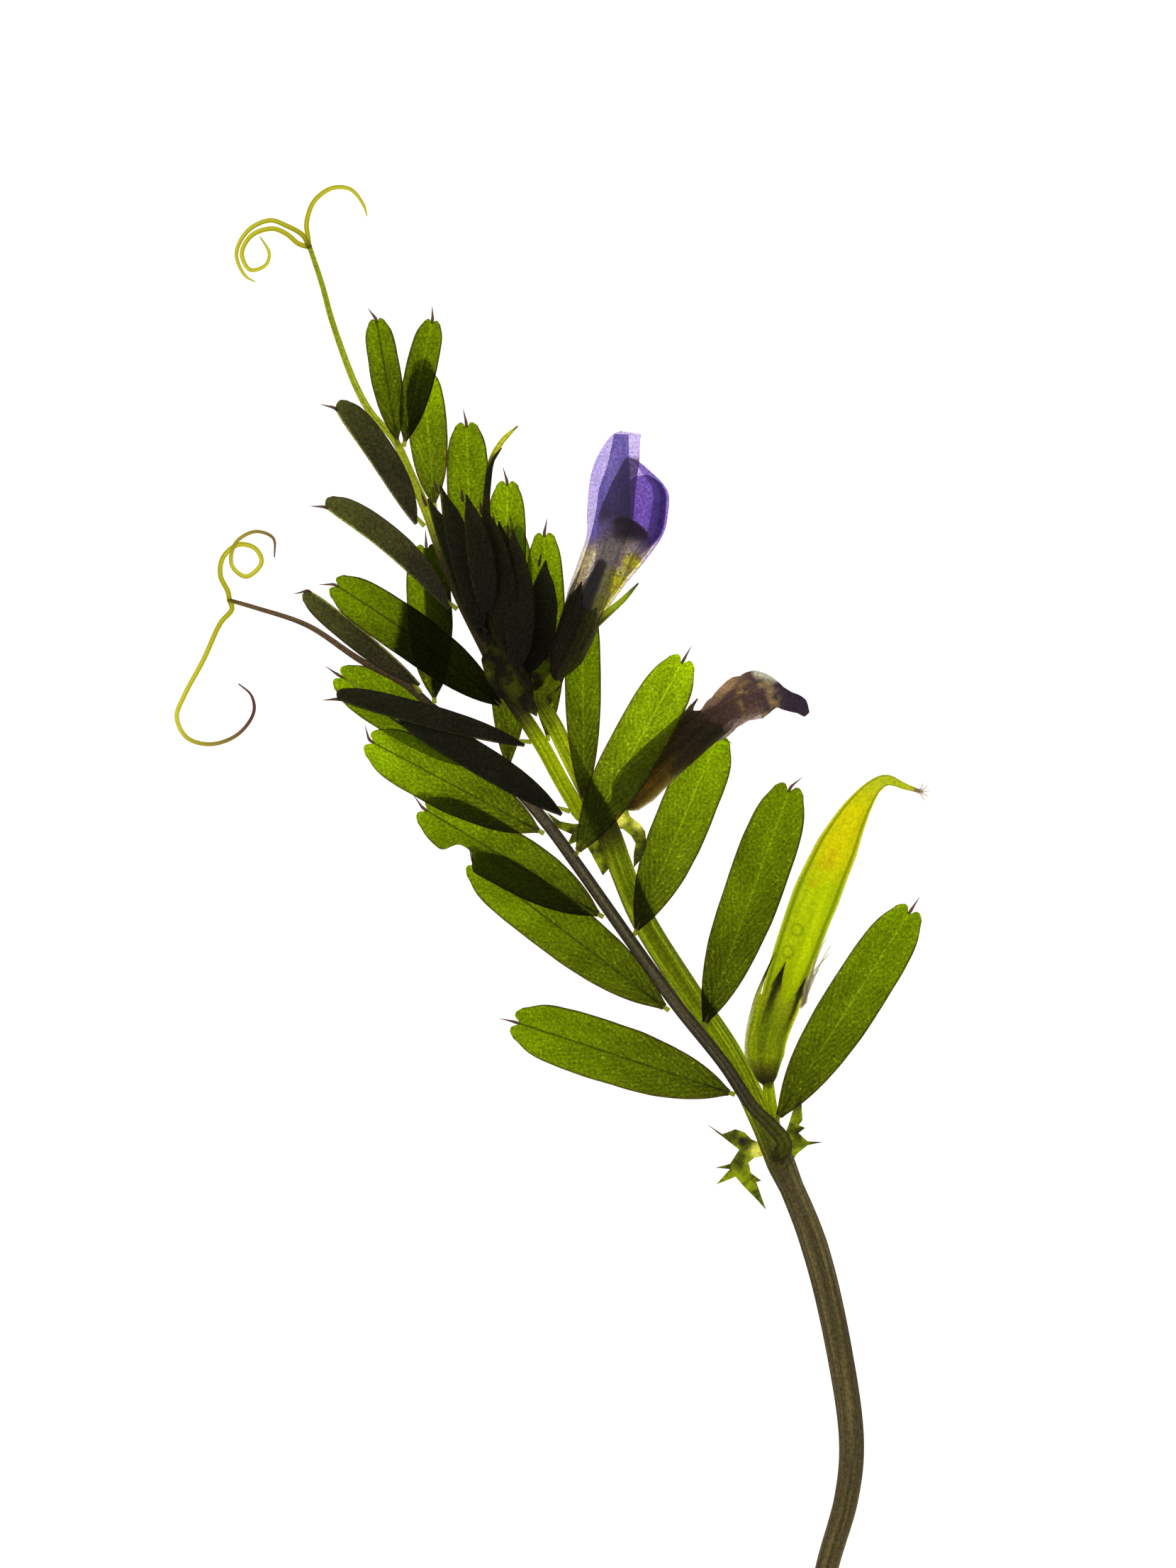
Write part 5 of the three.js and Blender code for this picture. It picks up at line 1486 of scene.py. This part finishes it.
colour = tint(tree, colour, dye(124, 140, 2), net)
seam = product(tree, spread(tree, aside, 0.72, 0.8), spread(tree, aside, 0.93, 0.86))
colour = touch(tree, colour, dye(84, 104, 4), seam, 0.8)
# A pale line along the pod's outline, painted light wrapping round its edges.
colour = tint(tree, colour, dye(206, 200, 120), spread(tree, aside, 0.93, 0.98))
for x, y in SEED_RINGS:
    ring = sums(tree, "PINGPONG", nearness(tree, ground, x, y, 0.62), 0.5)
    colour = touch(tree, colour, dye(92, 110, 2), ring, 1.3)
for x, y, reach in RUSTY_FLECKS:
    colour = touch(tree, colour, dye(172, 136, 6), nearness(tree, ground, x, y, reach), 0.5)
dots = put(tree, "ShaderNodeTexVoronoi", {"Vector": ground, "Scale": 900.0}).outputs["Distance"]
colour = tint(tree, colour, dye(110, 104, 10), spread(tree, dots, 0.13, 0.06, 0, 0.6))
colour = tint(tree, colour, dye(160, 124, 92), spread(tree, found["Along"], 25.4, 26.8))
hairs = spread(tree, found["Along"], PAST_STYLE - 2, PAST_STYLE - 1)
colour = tint(tree, colour, dye(206, 196, 184), hairs)
colour = grained(tree, colour, size=0.2, depth=0.14)
thin_skin(pod_skin, colour, clear=0.4, roughness=0.4)
finish(pod, pod_skin, "pod")

pod_calyx_spine = Spine([
    (17.1, -12.6, 1.6), (16.85, -11.3, 1.6), (16.8, -9.0, 1.6), (17.9, -5.4, 1.6), (19.1, -2.3, 1.5)])
pod_calyx = add_cup(
    "pod_calyx_toothed", pod_calyx_spine, [(0, 0.5), (1.0, 0.85), (2.6, 1.5), (6.4, 1.75)],
    mouth=7.0, flatness=0.78, wall=0.1, tooth_lengths=(3.4, 3.6, 3.4, 3.0, 2.4),
    sharpness=(2.2,) * TEETH, leans=(0.25, -0.02, -0.07, -0.02, -0.02))
foot_line = Spine([(17.6, -16.2, 1.5), (17.3, -14.5, 1.6), (17.1, -13.2, 1.6), (17.0, -11.8, 1.6)])
foot = add_rod("pod_foot", foot_line, [(0, 0.5), (3.0, 0.5), (4.4, 0.4)], sides=16, rings=16)
sheath, tree = new_finish("pod_calyx_skin")
found = rind_marks(tree, 2.6)
around = sums(tree, "ARCTAN2", found["Upward"], found["Aside"])
tooth_wave = sums(tree, "COSINE", product(tree, around, float(TEETH)))
tooth_ribs = spread(tree, tooth_wave, -0.3, -0.95)
colour = tint(tree, dye(176, 194, 8), dye(230, 236, 24), found["Streaks"])
colour = touch(tree, colour, dye(120, 134, 8), found["Lines"], 0.4)
colour = touch(tree, colour, dye(110, 124, 8), tooth_ribs, 0.5)
colour = tint(tree, colour, dye(240, 234, 200), spread(tree, found["Aside"], -0.84, -0.93))
colour = tint(tree, dye(84, 76, 26), colour, spread(tree, found["Along"], 0.8, 2.6))
tooth_dark = product(tree, tooth_ribs, spread(tree, found["Along"], 4.6, 7.4))
colour = tint(tree, colour, dye(50, 54, 14), tooth_dark)
off_ribs = sums(tree, "SUBTRACT", 1.0, tooth_ribs)
clear_rim = product(tree, spread(tree, found["Along"], 4.8, 6.6), off_ribs)
colour = touch(tree, colour, dye(228, 238, 30), clear_rim, 0.8)
colour = tint(tree, colour, dye(48, 50, 14), spread(tree, found["Along"], 7.6, 8.6))
colour = grained(tree, colour, size=0.2, depth=0.25)
thin_skin(sheath, colour, clear=0.45, roughness=0.5)
finish_joined([pod_calyx, foot], [sheath, green_stalk], "pod_calyx")

# Beside it lie the dry remains of the stamens: five straw-coloured threads, each bent once.
THREAD_BENDS = [
    ((20.4, -3.6), (21.4, -1.2)), ((20.8, -3.5), (21.7, -1.8)), ((20.2, -3.2), (20.9, -1.7)),
    ((20.6, -3.0), (21.3, -0.4)), ((20.3, -4.0), (21.55, -2.4)),
]
THREAD_HALVES = [(0, 0.12), (2, 0.1), (4.6, 0.04)]
threads = []
for i, (bend, end) in enumerate(THREAD_BENDS):
    start = (19.5 + 0.1 * i, -6.4 + 0.1 * i, 1.5)
    thread = Spine([start, (*bend, 1.45), (*end, 1.2), (end[0] + 0.2, end[1] + 0.25, 1.2)])
    threads.append(add_rod("dry_thread", thread, THREAD_HALVES, sides=8, rings=30))
stamens = joined(threads)
stamens.name = "pod_dry_threads"
straw, tree = new_finish("dry_straw")
found = rind_marks(tree, 2.0)
colour = tint(tree, dye(190, 180, 160), dye(226, 220, 206), found["Streaks"])
thin_skin(straw, colour, clear=0.4, roughness=0.7)
finish(stamens, straw, "pod_dry_stamens")
